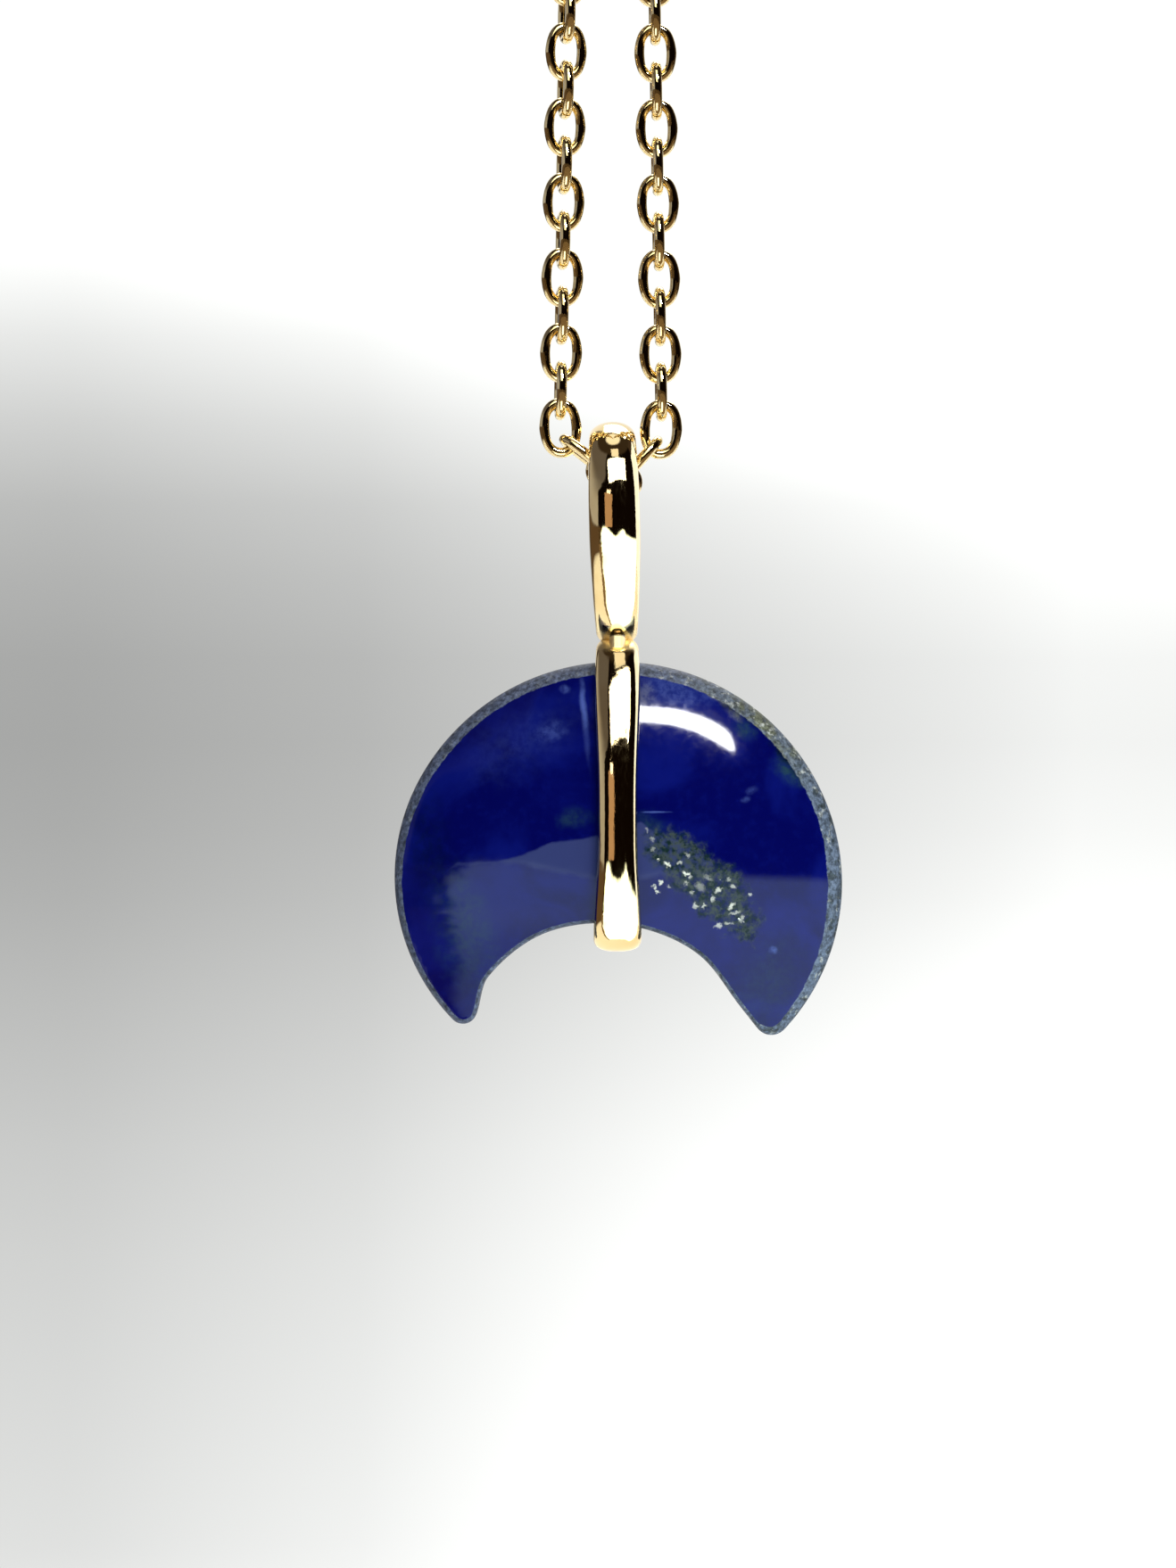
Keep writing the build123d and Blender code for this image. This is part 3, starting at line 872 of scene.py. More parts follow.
class HangingChain:
    """Where each link of the hanging chain lies, in millimetres."""

    def __init__(self, sizes, clasp):
        self.sizes = sizes
        self.round_half = (sizes.link_width - sizes.wire) / 2
        self.straight_half = (sizes.link_length - sizes.link_width) / 2
        self.pitch = sizes.link_length - 2 * sizes.wire - sizes.clearance
        self.edge_reach = 2 * (2 * self.round_half + self.straight_half - sizes.wire - sizes.clearance)
        eye_reach = self.round_half + self.straight_half
        grip = sizes.wire / 2 + sizes.clearance - eye_reach
        clasp_places = clasp_heights(sizes, clasp)
        left_top = clasp_places.eyelet_z - clasp.eyelet_radius + clasp.eyelet_wire / 2 + grip
        right_top = clasp_places.ring_z - clasp.ring_radius + clasp.ring_wire / 2 + grip
        self.tops = {-1: left_top, 1: right_top}
        self.feet = {side: top - (sizes.links_per_side - 2) * self.pitch for side, top in self.tops.items()}

    def joint(self, side, rise):
        """Place on a strand, a rise above its lowest upright link, leaning in as far as the clasp."""
        low_rise = (self.sizes.near_links - 2) * self.pitch
        x = self.sizes.away - min(rise, low_rise) * self.sizes.narrowing
        if rise > low_rise:
            full = self.tops[side] - self.feet[side] - low_rise
            x += (self.sizes.top - x) * min(1, (rise - low_rise) / full)
        return Vector((side * x, 0, self.feet[side] + rise))

    def twist(self, side, number):
        """Turn of a link about its own length, easing to none at the clasp."""
        near = self.sizes.near_links
        reach = min(number, near)
        angle = self.sizes.right_twist
        if side < 0:
            angle = self.sizes.left_twist + self.sizes.left_growth * (reach - 2)
        ease = max(0, (number - near) / (self.sizes.links_per_side - near))
        return angle * (1 - ease)

    def upright(self, side, number):
        """Place of an upright link, the lowest being number 2."""
        low = self.joint(side, (number - 2.5) * self.pitch)
        high = self.joint(side, (number - 1.5) * self.pitch)
        return link_between(low, high, math.pi / 2 * (number % 2) + self.twist(side, number))

    def uprights(self, first, last):
        """Places of the upright links of both strands, from one number to another."""
        return [self.upright(side, number) for number in range(first, last + 1) for side in (-1, 1)]

    def low_links(self):
        """Places of the five lowest links, of which the middle one lies in the bail."""
        uppers = {side: self.joint(side, self.straight_half) for side in (-1, 1)}
        joints = {}
        for side, upper in uppers.items():
            joints[side] = along(upper, math.pi + side * self.sizes.low_lean, 2 * self.straight_half)
        left = along(joints[-1], math.pi / 2 + self.sizes.left_slope, self.edge_reach)
        right = meeting_point(left, joints[1], 2 * self.straight_half, self.edge_reach)
        turns = {-1: self.sizes.left_twist, 1: self.sizes.right_twist}
        return [
            link_between(left, right, 0),
            link_between(left, joints[-1], math.pi / 2 + turns[-1]),
            link_between(right, joints[1], math.pi / 2 + turns[1]),
            link_between(joints[-1], uppers[-1], turns[-1]),
            link_between(joints[1], uppers[1], turns[1]),
        ]


def along(point, angle, distance):
    """Point at a distance from another, at an angle from straight up."""
    return point + Vector((distance * math.sin(angle), 0, distance * math.cos(angle)))


def meeting_point(a, b, reach_a, reach_b):
    """Lower point that lies one reach from a and another from b."""
    gap = (b - a).length
    way = (b - a) / gap
    distance = (gap**2 + reach_a**2 - reach_b**2) / (2 * gap)
    drop = math.sqrt(reach_a**2 - distance**2)
    return a + way * distance + Vector((way.z, 0, -way.x)) * drop


def link_between(low, high, twist):
    """Placement of a link whose two joints are given."""
    lean = math.atan2(high.x - low.x, high.z - low.z)
    turned = Matrix.Rotation(lean, 4, "Y") @ Matrix.Rotation(twist, 4, "Z")
    return Matrix.Translation((low + high) / 2) @ turned


def string_links(link, places):
    """Copies a link to each place, each copy with its own mesh, and joins them."""
    copies = []
    for place in places:
        copy = link.copy()
        copy.data = link.data.copy()
        bpy.context.scene.collection.objects.link(copy)
        copy.matrix_world = place
        copies.append(copy)
    bpy.data.objects.remove(link)
    pick(copies)
    bpy.ops.object.transform_apply()
    return join_pieces(copies)


# Clasp


def clasp_heights(chain, clasp):
    """Heights of the spring ring, its eyelet and the jump ring, in millimetres."""
    middle = clasp.tube / 2 - clasp.radius
    tube_z = middle - math.sqrt(clasp.radius**2 - chain.top**2)
    half = clasp.tube / 2 * clasp.radius / (middle - tube_z)
    eyelet_z = tube_z - half + clasp.eyelet_sink - clasp.eyelet_radius
    ring_z = tube_z + half + chain.clearance + clasp.ring_wire / 2 - clasp.ring_radius
    return SimpleNamespace(middle=middle, eyelet_z=eyelet_z, ring_z=ring_z)


def build_ring(radius, wire, major, minor, place, turned):
    """A plain wire ring."""
    object_mode()
    bpy.ops.mesh.primitive_torus_add(
        major_radius=radius,
        minor_radius=wire / 2,
        major_segments=major,
        minor_segments=minor,
        location=place,
        rotation=turned,
    )
    bpy.ops.object.transform_apply()
    return bpy.context.object


def build_clasp(clasp, chain):
    """Spring ring, its eyelet joined to it, and the jump ring at the chain's other end."""
    heights = clasp_heights(chain, clasp)
    upright, edge_on = (math.pi / 2, 0, 0), (0, math.pi / 2, 0)
    ring = build_ring(clasp.radius, clasp.tube, 96, 24, (0, 0, heights.middle), upright)
    low, high = (-chain.top, 0, heights.eyelet_z), (chain.top, 0, heights.ring_z)
    eyelet = build_ring(clasp.eyelet_radius, clasp.eyelet_wire, 40, 14, low, edge_on)
    jump_ring = build_ring(clasp.ring_radius, clasp.ring_wire, 64, 16, high, edge_on)
    return join_pieces([ring, eyelet]), jump_ring


# Materials


class Amount:
    """What a node gives, which can be added to, multiplied, compared and spread."""

    def __init__(self, nodes, socket):
        self.nodes = nodes
        self.socket = socket

    def __add__(self, other):
        return self.nodes.math("ADD", self, other)

    def __sub__(self, other):
        return self.nodes.math("SUBTRACT", self, other)

    def __mul__(self, other):
        return self.nodes.math("MULTIPLY", self, other)

    def __abs__(self):
        return self.nodes.math("ABSOLUTE", self)

    def larger(self, other):
        """The larger of this and another."""
        return self.nodes.math("MAXIMUM", self, other)

    def smaller(self, other):
        """The smaller of this and another."""
        return self.nodes.math("MINIMUM", self, other)

    def spread(self, low, high, out_low=0.0, out_high=1.0, kind="SMOOTHSTEP"):
        """This, spread from one range to another."""
        links = {"Value": self, "From Min": low, "From Max": high, "To Min": out_low, "To Max": out_high}
        return self.nodes.add("ShaderNodeMapRange", links, "Result", interpolation_type=kind)


class Nodes:
    """Short ways to add and join a tree's nodes."""

    def __init__(self, tree):
        self.tree = tree
        tree.nodes.clear()

    def node(self, kind, links=None, **values):
        """Adds a node, sets its fields and fills its sockets."""
        node = self.tree.nodes.new(kind)
        for key, value in values.items():
            setattr(node, key, value)
        for key, value in (links or {}).items():
            if isinstance(value, Amount):
                self.tree.links.new(value.socket, node.inputs[key])
            else:
                node.inputs[key].default_value = value
        return node

    def add(self, kind, links=None, output=0, **values):
        """Adds a node and gives one of its outputs."""
        return Amount(self, self.node(kind, links, **values).outputs[output])

    def finish(self, surface, kind="ShaderNodeOutputMaterial"):
        """Ends the tree with its surface."""
        self.node(kind, {"Surface": surface})

    def math(self, operation, a, b=0.0):
        """A number worked out from others."""
        return self.add("ShaderNodeMath", {0: a, 1: b}, operation=operation)

    def plus(self, a, b, operation="ADD"):
        """A place moved by another."""
        return self.add("ShaderNodeVectorMath", {0: a, 1: b}, operation=operation)

    def times(self, place, size):
        """A place drawn out from the origin."""
        return self.add("ShaderNodeVectorMath", {0: place, "Scale": size}, operation="SCALE")

    def length(self, place):
        """A place's distance from the origin."""
        return self.add("ShaderNodeVectorMath", {0: place}, "Value", operation="LENGTH")

    def parts(self, place):
        """A place's three numbers."""
        return [Amount(self, output) for output in self.node("ShaderNodeSeparateXYZ", {0: place}).outputs]

    def mix(self, share, a, b, blend="MIX"):
        """A colour mixed from two."""
        return self.add("ShaderNodeMix", {0: share, 6: a, 7: b}, 2, data_type="RGBA", blend_type=blend)

    def ramp(self, amount, rows, low, high):
        """A grey read off rows of a place and a grey."""
        node = self.node("ShaderNodeValToRGB", {0: amount.spread(low, high, kind="LINEAR")})
        elements = node.color_ramp.elements
        elements.remove(elements[1])
        for i, (place, grey) in enumerate(rows):
            at = (place - low) / (high - low)
            element = elements[0] if i == 0 else elements.new(at)
            element.position = at
            element.color = (grey, grey, grey, 1)
        return Amount(self, node.outputs[0])

    def noise(self, place, scale, detail, roughness, distortion=0.0, output="Fac"):
        """A noise's value, or its colour."""
        links = {"Vector": place, "Scale": scale, "Detail": detail}
        links |= {"Roughness": roughness, "Distortion": distortion}
        return self.add("ShaderNodeTexNoise", links, output)


def new_material(name):
    """A material with an empty node tree."""
    material = bpy.data.materials.new(name)
    material.use_nodes = True
    return material, Nodes(material.node_tree)


def object_place(nodes, unit=1.0):
    """Object coordinates in a unit."""
    place = nodes.add("ShaderNodeTexCoord", output="Object")
    return nodes.times(place, 1 / unit) if unit != 1 else place


def stone_place(x=0, z=0):
    """Place on the stone from its distances across and up from the stone's middle."""
    sizes = sizes_of("pendant_stone")
    return sizes.across + x, 0, middle_height(sizes) + z


def pushes(nodes, place, scale, detail, roughness, size):
    """Small moves that differ from place to place and make borders ragged."""
    noise = nodes.noise(place, scale, detail, roughness, output="Color")
    return nodes.times(nodes.plus(noise, (0.5, 0.5, 0.5), "SUBTRACT"), size)


def oval_place(nodes, place, x, z, turned, half_sizes):
    """Place measured from an oval's middle along its turned axes, in its half sizes."""
    rotation = (0, -math.radians(turned), 0)
    links = {"Vector": place, "Location": stone_place(x, z), "Rotation": rotation, "Scale": half_sizes}
    return nodes.add("ShaderNodeMapping", links, vector_type="TEXTURE")


def patch(nodes, place, warp, row):
    """A soft-edged patch on the stone, its border pushed about by noise."""
    x, z, half_x, half_z, turned, softness = row
    inside = oval_place(nodes, place, x, z, turned, (half_x, PATCH_DEPTH, half_z))
    return nodes.length(nodes.plus(inside, warp)).spread(1.0 + softness / 2, 1.0 - softness)


def lapis_material(colours):
    """Polished lapis: blue clouds, marks, a milky area, vein streaks, a pyrite cluster and a ground rim, where
    the milky area, two streaks and parts of two marks are painted reflection.
    """
    material, nodes = new_material("polished_lapis")
    place = object_place(nodes, MM)
    warp = pushes(nodes, place, 1.6, 5.0, 0.65, 1.4)
    grain = nodes.noise(place, 3.2, 4.0, 0.65)
    speckle = nodes.noise(place, 4.2, 5.0, 0.7)
    clouds = nodes.noise(place, 0.35, 4.0, 0.55, 0.6)
    base = nodes.mix(clouds.spread(0.40, 0.66), colours.lapis_deep, colours.lapis_bright)
    base = nodes.mix(grain.spread(0.45, 0.8, 0.0, 0.5), base, colours.lapis_bright)
    mottle = speckle.spread(0.36, 0.62, 0.35, 1.0)
    for kind, *row, strength in MARKS_AND_PAINTED_REFLECTIONS:
        spot = patch(nodes, place, warp, row)
        base = nodes.mix(spot * mottle * strength, base, getattr(colours, kind))
    # Painted reflection of the glowing table, in milky blue above where the stone mirrors the table itself.
    base = nodes.mix(painted_reflection_area(nodes, place, warp), base, colours.reflection_lilac)
    # The first two masks paint the band edge's reflection beside the band. The third is a vein.
    vein_and_reflection_masks = [patch(nodes, place, warp, row) * strength for *row, strength in VEINS_AND_BAND_REFLECTION]
    base = nodes.mix((vein_and_reflection_masks[0] + vein_and_reflection_masks[1] + vein_and_reflection_masks[2]).smaller(1.0), base, colours.pale)
    cluster = patch(nodes, place, warp, CLUSTER)
    grey = cluster * nodes.noise(place, 5.5, 3.0, 0.6).spread(0.34, 0.62, 0.45, 1.2)
    pits = nodes.noise(place, 3.4, 4.0, 0.7).spread(0.4, 0.58)
    base = nodes.mix(grey * 0.85, base, nodes.mix(pits, *CLUSTER_TONES))
    specks = small_specks(nodes, place, cluster)
    base = nodes.mix(specks.larger(large_specks(nodes, place)), base, colours.pyrite)
    rim = nodes.add("ShaderNodeAttribute", output="Fac", attribute_name="rim_place")
    rim = (rim + grain.spread(0.3, 0.7, -0.05, 0.05)).spread(1.0, 0.9)
    base = nodes.mix(rim, base, rim_tone(nodes, place, warp, speckle, colours))
    height = speckle * 0.12 + nodes.noise(place, 0.8, 2.0, 0.5) + grey * 0.1
    links = {
        "Base Color": base,
        "Metallic": specks * 0.7,
        "Roughness": speckle.spread(0.3, 0.8, 0.04, 0.09).larger(rim * 0.5),
        "Specular IOR Level": cluster.spread(0.15, 0.8, 0.16, 0.09),
        "Normal": nodes.add("ShaderNodeBump", {"Height": height, "Strength": 0.03, "Distance": STONE_BUMP}),
    }
    nodes.finish(nodes.add("ShaderNodeBsdfPrincipled", links))
    return material


def rim_tone(nodes, place, warp, speckle, colours):
    """Colour of the ground rim, from the stone's left to its right, with an olive stretch and flecks."""
    x = nodes.parts(place)[0]
    tone = nodes.mix(speckle.spread(0.38, 0.6, 0.0, 0.6), colours.rim, RIM_TONES["dark"])
    tone = nodes.mix(x.spread(0.0, 6.5, 0.0, 0.55), tone, RIM_TONES["right"])
    olive = patch(nodes, place, warp, OLIVE) * nodes.noise(place, 1.9, 4.0, 0.65).spread(0.42, 0.58, 0.2, 1.0)
    tone = nodes.mix(olive, tone, RIM_TONES["olive"])
    flecks = nodes.noise(place, 3.3, 3.0, 0.6).spread(0.56, 0.66) * x.spread(-1.0, 4.0, 0.15, 0.8)
    tone = nodes.mix(flecks, tone, RIM_TONES["flecks"])
    blots = nodes.noise(place, 2.6, 3.0, 0.6).spread(0.47, 0.37) * x.spread(-1.0, 4.0, 0.3, 0.8)
    tone = nodes.mix(blots, tone, RIM_TONES["blots"])
    return nodes.mix(1.0, tone, nodes.noise(place, 7.0, 4.0, 0.7).spread(0.3, 0.7, 0.35, 1.75), "MULTIPLY")


def painted_reflection_area(nodes, place, warp):
    """Where the glowing table's reflection is painted in milky blue on the stone's front, between two edges
    that follow its rows.
    """
    middle_x, _, middle_z = stone_place()
    x, y, z = nodes.parts(nodes.plus(place, nodes.times(warp, 0.12)))
    edges = []
    for column in (1, 2):
        rows = [(row[0], (row[column] + 1) / 4) for row in PAINTED_REFLECTION_AREA]
        edges.append(z - middle_z - (nodes.ramp(x - middle_x, rows, -8.0, 8.0) * 4.0 - 1.0))
    return edges[0].spread(0.06, -0.06) * edges[1].spread(-0.12, 0.12) * y.spread(0.3, -0.3)


def small_specks(nodes, place, cluster):
    """Small metal specks, thick in the cluster and rare elsewhere."""
    cells = nodes.add("ShaderNodeTexVoronoi", {"Vector": place, "Scale": 3.6, "Randomness": 1.0}, "Distance")
    size = nodes.noise(place, 2.3, 3.0, 0.6)
    few = nodes.math("LESS_THAN", cells, size.spread(0.66, 0.8, 0.0, 0.16))
    many = nodes.math("LESS_THAN", cells, size.spread(0.52, 0.80, 0.0, 0.24))
    return (many * cluster.spread(0.3, 0.7)).larger(few)


def large_specks(nodes, place):
    """The cluster's large specks, each a small oval with a ragged border."""
    pushed = nodes.plus(place, pushes(nodes, place, 6.0, 3.0, 0.7, 0.34))
    most = None
    for x, z, half_length, half_width, turned, bright in SPECKS:
        reach = nodes.length(oval_place(nodes, pushed, x, z, turned, (half_length, 0, half_width)))
        speck = reach.spread(1.1, 0.3, 0.0, bright)
        most = most.larger(speck) if most else speck
    return most


def gold_material(name, gold, scratch, joint_z=None):
    """Polished gold with faint waves and rubbed marks, duller at a joint whose height is given, with painted
    shade in the crease above it.
    """
    material, nodes = new_material(name)
    place = object_place(nodes, MM)
    waves = nodes.noise(place, 0.9, 2.0, 0.5)
    rubbed = nodes.noise(nodes.add("ShaderNodeMapping", {"Vector": place, "Scale": RUBBED}), 1.0, 3.0, 0.6)
    warm = (*(value * share for value, share in zip(gold, WARM_SHARES)), 1)
    tone = nodes.mix(waves.spread(0.3, 0.7), gold, warm)
    bump = {"Height": waves + rubbed * 0.12, "Strength": scratch, "Distance": GOLD_BUMP}
    roughness = rubbed.spread(0.3, 0.8, 0.02, 0.06)
    if joint_z is not None:
        x, y, z = nodes.parts(place)
        away = abs(z - joint_z) + waves.spread(0.3, 0.7, -0.05, 0.05)
        roughness = roughness.larger(away.spread(0.5, 0.2, 0.0, 0.34))
        # Painted shade: a dark line along the crease above the joint, on the front and back faces, where the
        # crease's shadow falls
        side = abs(x - stone_place()[0])
        away = abs(z - (joint_z + CREASE_SHADE_RISE)) - side.spread(0.16, 0.46, 0.03, 0.26)
        crease = away.spread(0.07, 0.0) * side.spread(0.60, 0.46) * abs(y).spread(0.7, 1.0)
        tone = nodes.mix(crease * 0.93, tone, CREASE_SHADE_TONE)
    links = {"Base Color": tone, "Metallic": 1.0, "Roughness": roughness}
    links["Normal"] = nodes.add("ShaderNodeBump", bump)
    nodes.finish(nodes.add("ShaderNodeBsdfPrincipled", links))
    return material


def joint_height(sizes):
    """Height of the joint between the bail and the band, measured down from the bail's top."""
    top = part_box("setting")[1].z / MM
    return top - sizes.bail_height * math.cos(sizes.bail_lean) + sizes.overlap / 2


def colours_now():
    """The finishes' colours as plain numbers."""
    group = bpy.context.scene.pendant_finishes
    return SimpleNamespace(**{key: tuple(getattr(group, key)) for key in Finishes.__annotations__})


# Stage


def floor_material(floor, reach):
    """Pale floor with a faint grain, which fades out far away."""
    material, nodes = new_material("pale_floor")
    place = object_place(nodes)
    tone = nodes.mix(nodes.noise(place, 240.0, 3.0, 0.6).spread(0.3, 0.7, 0.0, 0.06), floor, FLOOR_GRAIN)
    pale = nodes.add("ShaderNodeBsdfPrincipled", {"Base Color": tone, "Roughness": 0.75})
    clear = nodes.add("ShaderNodeBsdfTransparent")
    fade = nodes.length(place).spread(0.5 * reach, 0.97 * reach)
    nodes.finish(nodes.add("ShaderNodeMixShader", {0: fade, 1: pale, 2: clear}))
    return material


def studio_world():
    """Soft studio surroundings: a pale backdrop behind, and a dark room with windows on the camera's side."""
    world = bpy.data.worlds.new("soft_studio")
    bpy.context.scene.world = world
    world.use_nodes = True
    nodes = Nodes(world.node_tree)
    x, y, z = nodes.parts(nodes.add("ShaderNodeTexCoord", output="Generated"))
    near = y * -1.0
    degrees = math.degrees(1)
    rise = nodes.math("ARCSINE", z) * degrees
    swing = nodes.math("ARCTAN2", x, near) * degrees
    across = nodes.math("ARCTAN2", x, y) * degrees
    growth = nodes.ramp(across, BACKDROP_GROWTH, -40, 40) * 5.0
    grey = (nodes.ramp(rise, BACKDROP_GREYS, -9.0, 9.0) * growth).smaller(1.04)
    backdrop = nodes.mix(1.0, ROOM_TONES["backdrop"], grey, "MULTIPLY")
    front = nodes.mix(window_strip(nodes, x, near, z), ROOM_TONES["front"], ROOM_TONES["window"])
    wall = (rise.spread(20.0, 32.0, -53.0, -25.0) - swing).spread(-2.0, 2.0) * rise.spread(3.0, 5.0)
    plaster = nodes.mix(rise.spread(12.0, 30.0), ROOM_TONES["wall"], ROOM_TONES["wall_top"])
    front = nodes.mix(wall, front, plaster)
    corner = swing.spread(-41.5, -44.5) * rise.spread(5.0, 3.0)
    front = nodes.mix(corner, front, ROOM_TONES["corner"])
    sides = swing.spread(84.0, 92.0).larger(swing.spread(-126.0, -134.0))
    around = nodes.mix(sides, front, ROOM_TONES["sides"])
    around = nodes.mix(rise.spread(50.0, 56.0), around, ROOM_TONES["roof"])
    around = nodes.mix(rise.spread(74.0, 78.0), around, ROOM_TONES["skylight"])
    behind = across.spread(48.0, 40.0) * across.spread(-34.0, -24.0) * rise.spread(62.0, 56.0)
    glow = nodes.add("ShaderNodeBackground", {"Color": nodes.mix(behind, around, backdrop), "Strength": 1.0})
    nodes.finish(glow, "ShaderNodeOutputWorld")


def window_strip(nodes, x, near, z):
    """Where the long window lies that the stone's shoulder mirrors: a bent bar with a round end."""
    ahead = near.larger(0.02)
    across, up = (nodes.math("DIVIDE", part, ahead) for part in (x, z))
    past_bend = (across - STRIP.bend).larger(0.0)
    off_line = up - STRIP.height + past_bend * past_bend * STRIP.sag
    past = (across - STRIP.right).larger(0.0) + nodes.math("SUBTRACT", STRIP.left, across).larger(0.0)
    cubes = nodes.math("POWER", abs(off_line), 3.0) + nodes.math("POWER", past, 3.0)
    reach = nodes.math("POWER", cubes, 1 / 3) - past_bend * STRIP.growth
    return reach.spread(*STRIP.border) * nodes.math("GREATER_THAN", near, 0.05)


def build_table(floor_z):
    """A glowing table top with a low upright edge, which only the stone and the setting mirror."""
    object_mode()
    bpy.ops.mesh.primitive_grid_add(x_subdivisions=96, y_subdivisions=3, size=2)
    table = bpy.context.object
    points = points_of(table)
    row = np.round((points[:, 1] + 1) * 1.5)
    first, last = TABLE_LINE[0][0], TABLE_LINE[-1][0]
    swings = first + (last - first) * (points[:, 0] + 1) / 2
    rises = np.radians(np.interp(swings, *zip(*TABLE_LINE)))
    swings = np.radians(swings)
    middle_x, _, middle_z = stone_place()
    reach = np.where(row == 0, TABLE_START, TABLE_REACH)
    top = middle_z * MM + TABLE_REACH * np.tan(rises)
    height = np.where(row > 1, top + (2 * row - 5) * TABLE_FADE, floor_z + TABLE_LIFT)
    across = middle_x * MM + reach * np.sin(swings)
    place_points(table, np.column_stack([across, -reach * np.cos(swings), height]))
    table.name = "glowing_table"
    fade = table.data.attributes.new("fade", "FLOAT", "POINT")
    fade.data.foreach_set("value", np.where(row == 3, 0.0, 1.0))
    table.data.materials.append(table_material())
    table.visible_camera = False
    table.visible_shadow = False
    return table


def table_material():
    """A glow with a soft left end, dimmer near the stone at the left, over dull brown."""
    material, nodes = new_material("glowing_table")
    place = object_place(nodes)
    x, y, z = nodes.parts(place)
    middle_x, _, middle_z = stone_place()
    across = x - middle_x * MM
    above = (z - (middle_z * MM - TABLE_END.depth)).larger(0.0)
    ragged = nodes.noise(place, 9.0, 4.0, 0.6).spread(0.3, 0.7, -0.06, 0.06)
    end = above * TABLE_END.lean + TABLE_END.swing + ragged
    lit = (nodes.math("ARCTAN2", across, y * -1.0) - end).spread(-0.035, 0.045)
    glow = y.spread(-0.55, -0.12) * across.spread(0.02, -0.14) * -0.4 + 1.0
    fade = nodes.add("ShaderNodeAttribute", output="Fac", attribute_name="fade")
    strength = glow * lit * fade * TABLE_STRENGTH
    light = nodes.add("ShaderNodeEmission", {"Color": TABLE_GLOW, "Strength": strength})
    brown = nodes.add("ShaderNodeBsdfDiffuse", {"Color": TABLE_BROWN})
    nodes.finish(nodes.add("ShaderNodeAddShader", {0: light, 1: brown}))
    return material


def add_light(name, place, target, size, watts, tone=(1, 1, 1)):
    """A soft rectangular light that faces a point."""
    data = bpy.data.lights.new(name, "AREA")
    data.shape = "RECTANGLE"
    data.size, data.size_y = size
    data.energy = watts
    data.color = tone
    light = bpy.data.objects.new(name, data)
    bpy.context.scene.collection.objects.link(light)
    light.location = place
    light.rotation_euler = (target - place).to_track_quat("-Z", "Y").to_euler()
    return light


def add_window(receivers, name, swings, rises, radiance, distance=WINDOW_DISTANCE):
    """A soft window that only its receivers mirror, between two swings and two rises in degrees."""
    middle = Vector((stone_place()[0] * MM, -WINDOW_AHEAD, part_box("stone")[1].z))
    swing, rise = (math.radians(sum(pair) / 2) for pair in (swings, rises))
    way = Vector((math.cos(rise) * math.sin(swing), -math.cos(rise) * math.cos(swing), math.sin(rise)))
    half = math.radians(swings[1] - swings[0]) / 2
    width = 2 * distance * math.tan(math.asin(math.cos(rise) * math.sin(half)))
    height = 2 * distance * math.tan(math.radians(rises[1] - rises[0]) / 2)
    bright = max(radiance)
    tone = tuple(value / bright for value in radiance)
    light = add_light(name, middle + way * distance, middle, (width, height), 4 * width * height * bright, tone)
    light.light_linking.receiver_collection = receivers


def receivers_of(name, pieces):
    """A collection of the pieces that a light falls on."""
    collection = bpy.data.collections.new(name)
    for piece in pieces:
        collection.objects.link(bpy.data.objects[piece])
    return collection


def add_camera(sizes):
    """The camera, level with the picture's middle and looking straight back."""
    camera = bpy.data.objects.new("camera", bpy.data.cameras.new("camera"))
    bpy.context.scene.collection.objects.link(camera)
    aim_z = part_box("setting")[1].z - sizes.picture_down * MM
    camera.location = (-sizes.picture_left * MM, -sizes.distance * MM, aim_z)
    camera.rotation_euler = (math.pi / 2, 0, 0)
    camera.data.sensor_width = SENSOR
    camera.data.lens = SENSOR * sizes.distance / sizes.frame_height
    camera.data.clip_start, camera.data.clip_end = 0.01, 20
    bpy.context.scene.camera = camera


# Operators


class PENDANT_OT_stone(bpy.types.Operator):
    """Models the polished crescent"""

    bl_idname = "pendant.stone"
    bl_label = "Crescent stone"
    bl_options = {"REGISTER", "UNDO"}

    def execute(self, context):
        """Builds the stone and dresses it."""
        piece = build_stone(sizes_of("pendant_stone"))
        finish_piece(piece, "crescent_stone", "pendant", lapis_material(colours_now()), "stone")
        return {"FINISHED"}


class PENDANT_OT_setting(bpy.types.Operator):
    """Models the gold bail and band"""

    bl_idname = "pendant.setting"
    bl_label = "Gold setting"
    bl_options = {"REGISTER", "UNDO"}

    def execute(self, context):
        """Builds the setting and dresses it."""
        sizes = sizes_of("pendant_setting")
        piece = build_setting(sizes, sizes_of("pendant_stone"))
        material = gold_material("polished_gold", colours_now().gold, 0.12, joint_height(sizes))
        finish_piece(piece, "gold_setting", "pendant", material, "setting")
        return {"FINISHED"}


class PENDANT_OT_chain(bpy.types.Operator):
    """Models the cable chain, link by link"""

    bl_idname = "pendant.chain"
    bl_label = "Cable chain"
    bl_options = {"REGISTER", "UNDO"}

    def execute(self, context):
        """Builds both stretches of the chain."""
        sizes = sizes_of("pendant_chain")
        chain = HangingChain(sizes, sizes_of("pendant_clasp"))
        material = gold_material("chain_gold", colours_now().chain_gold, 0.2)
        near = string_links(build_link(sizes, 36, 14), chain.low_links() + chain.uprights(3, sizes.near_links))
        finish_piece(near, "near_chain", "chain", material, "chain_links")
        far_places = chain.uprights(sizes.near_links + 1, sizes.links_per_side)
        far = string_links(build_link(sizes, 12, 6), far_places)
        finish_piece(far, "far_chain", "chain", material, "chain_strands")
        return {"FINISHED"}


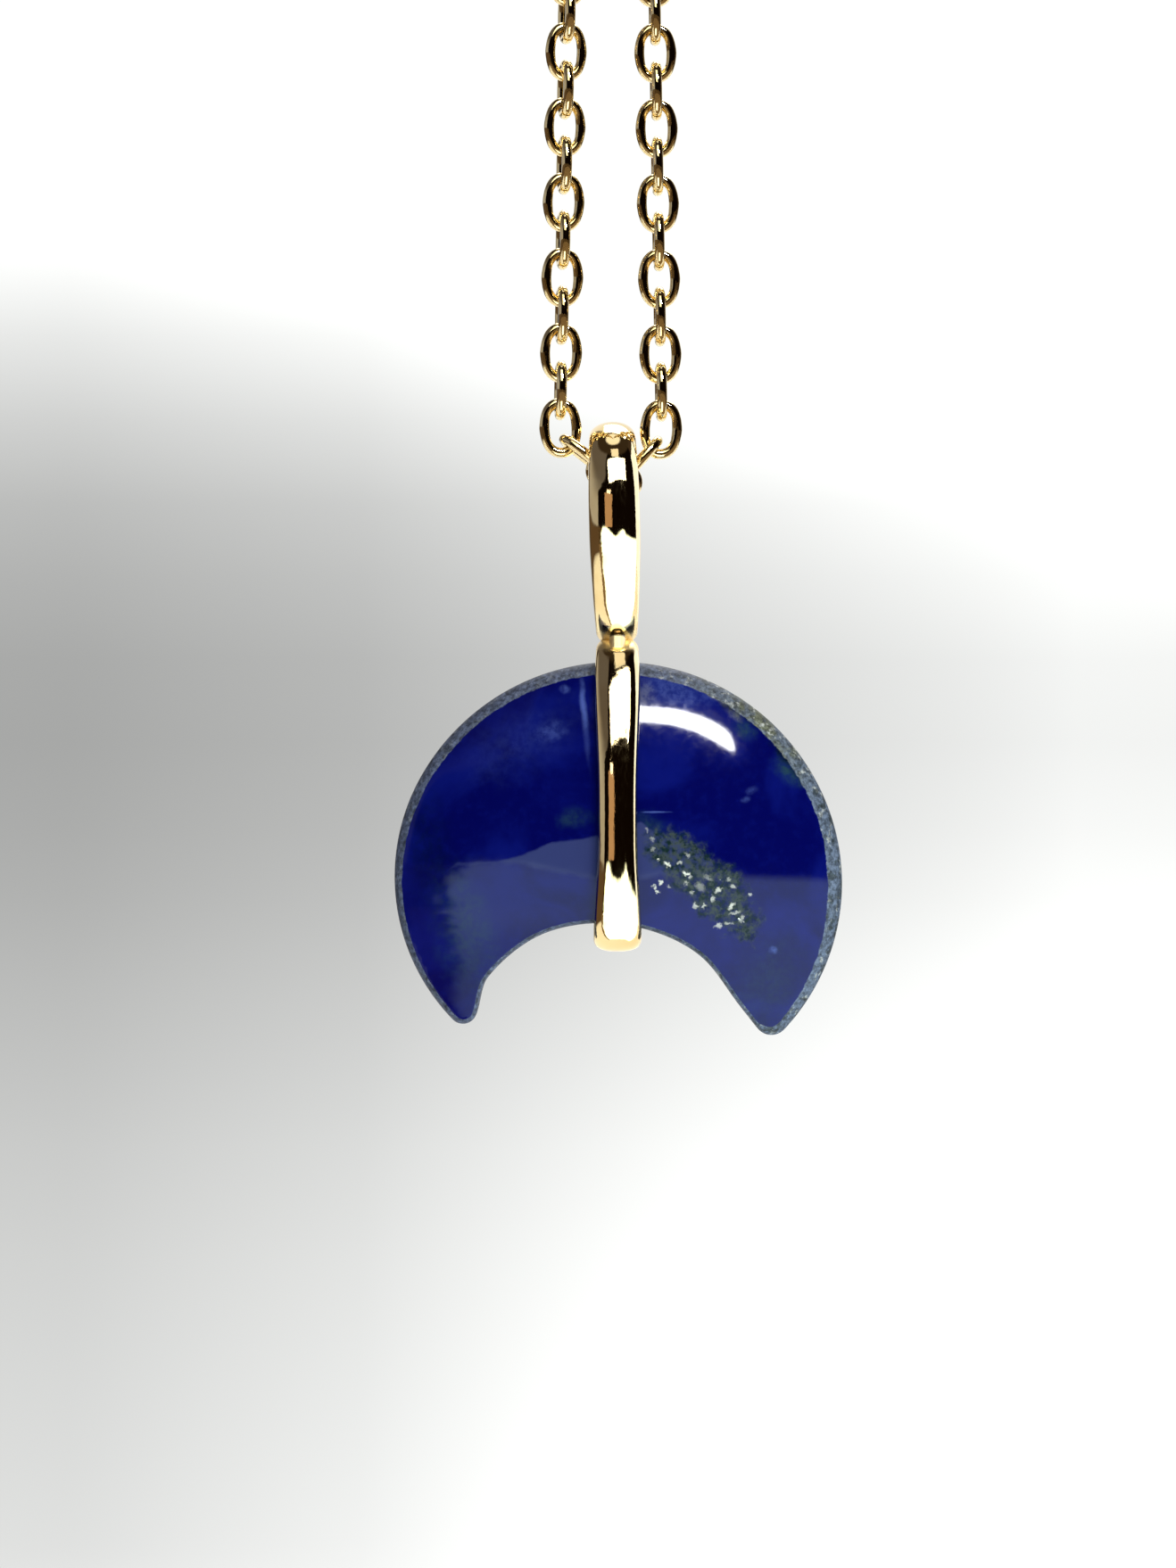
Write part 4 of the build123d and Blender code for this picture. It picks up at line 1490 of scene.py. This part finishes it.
class PENDANT_OT_clasp(bpy.types.Operator):
    """Models the spring ring and the jump ring"""

    bl_idname = "pendant.clasp"
    bl_label = "Clasp"
    bl_options = {"REGISTER", "UNDO"}

    def execute(self, context):
        """Builds both rings."""
        clasp, chain = sizes_of("pendant_clasp"), sizes_of("pendant_chain")
        material = gold_material("clasp_gold", colours_now().gold, 0.12)
        spring_ring, jump_ring = build_clasp(clasp, chain)
        finish_piece(spring_ring, "spring_ring", "chain", material, "clasp")
        finish_piece(jump_ring, "jump_ring", "chain", material, "end_ring")
        return {"FINISHED"}


class PENDANT_OT_stage(bpy.types.Operator):
    """Sets the floor, the surroundings, the lights and the camera"""

    bl_idname = "pendant.stage"
    bl_label = "Stage"
    bl_options = {"REGISTER", "UNDO"}

    def execute(self, context):
        """Builds the stage."""
        sizes = sizes_of("pendant_stage")
        floor_z = CAD_BOX[0].z - sizes.drop * MM
        reach = sizes.floor_radius * MM
        object_mode()
        bpy.ops.mesh.primitive_circle_add(vertices=96, radius=reach, fill_type="NGON", location=(0, 0, floor_z))
        floor = bpy.context.object
        floor.name = "pale_floor"
        floor.data.materials.append(floor_material(colours_now().floor, reach))
        studio_world()
        stone_middle = Vector(stone_place()) * MM
        add_light("soft_top", stone_middle + Vector(SOFT_LIGHT), stone_middle, (0.5, 0.4), 3.0)
        setting = receivers_of("gold_pieces", ["gold_setting"])
        chain = receivers_of("chain_pieces", ["near_chain", "far_chain"])
        for receivers, windows in ((setting, GOLD_WINDOWS), (chain, CHAIN_WINDOWS)):
            for window in windows:
                add_window(receivers, *window)
        pendant = receivers_of("pendant_pieces", ["gold_setting", "crescent_stone"])
        build_table(floor_z).light_linking.receiver_collection = pendant
        add_camera(sizes)
        context.scene.view_settings.view_transform = "Standard"
        return {"FINISHED"}


class PENDANT_PT_panel(bpy.types.Panel):
    """Lists the pieces in the sidebar"""

    bl_idname = "PENDANT_PT_panel"
    bl_label = "Crescent Pendant"
    bl_space_type = "VIEW_3D"
    bl_region_type = "UI"
    bl_category = "Crescent Pendant"

    def draw(self, context):
        """Draws one button for each piece."""
        for operator in OPERATORS:
            self.layout.operator(operator.bl_idname)


OPERATORS = (PENDANT_OT_stone, PENDANT_OT_setting, PENDANT_OT_chain, PENDANT_OT_clasp, PENDANT_OT_stage)
GROUPS = {
    "pendant_stone": StoneSizes,
    "pendant_setting": SettingSizes,
    "pendant_chain": ChainSizes,
    "pendant_clasp": ClaspSizes,
    "pendant_finishes": Finishes,
    "pendant_stage": StageSizes,
}


def register():
    """Registers the property groups, the operators and the panel."""
    for name, group in GROUPS.items():
        bpy.utils.register_class(group)
        setattr(bpy.types.Scene, name, bpy.props.PointerProperty(type=group))
    for item in (*OPERATORS, PENDANT_PT_panel):
        bpy.utils.register_class(item)


def unregister():
    """Takes everything out again."""
    for item in reversed((*OPERATORS, PENDANT_PT_panel)):
        bpy.utils.unregister_class(item)
    for name, group in GROUPS.items():
        delattr(bpy.types.Scene, name)
        bpy.utils.unregister_class(group)


def main():
    """Builds every piece and the stage."""
    register()
    bpy.ops.pendant.stone()
    bpy.ops.pendant.setting()
    bpy.ops.pendant.chain()
    bpy.ops.pendant.clasp()
    bpy.ops.pendant.stage()


if __name__ == "__main__":
    main()
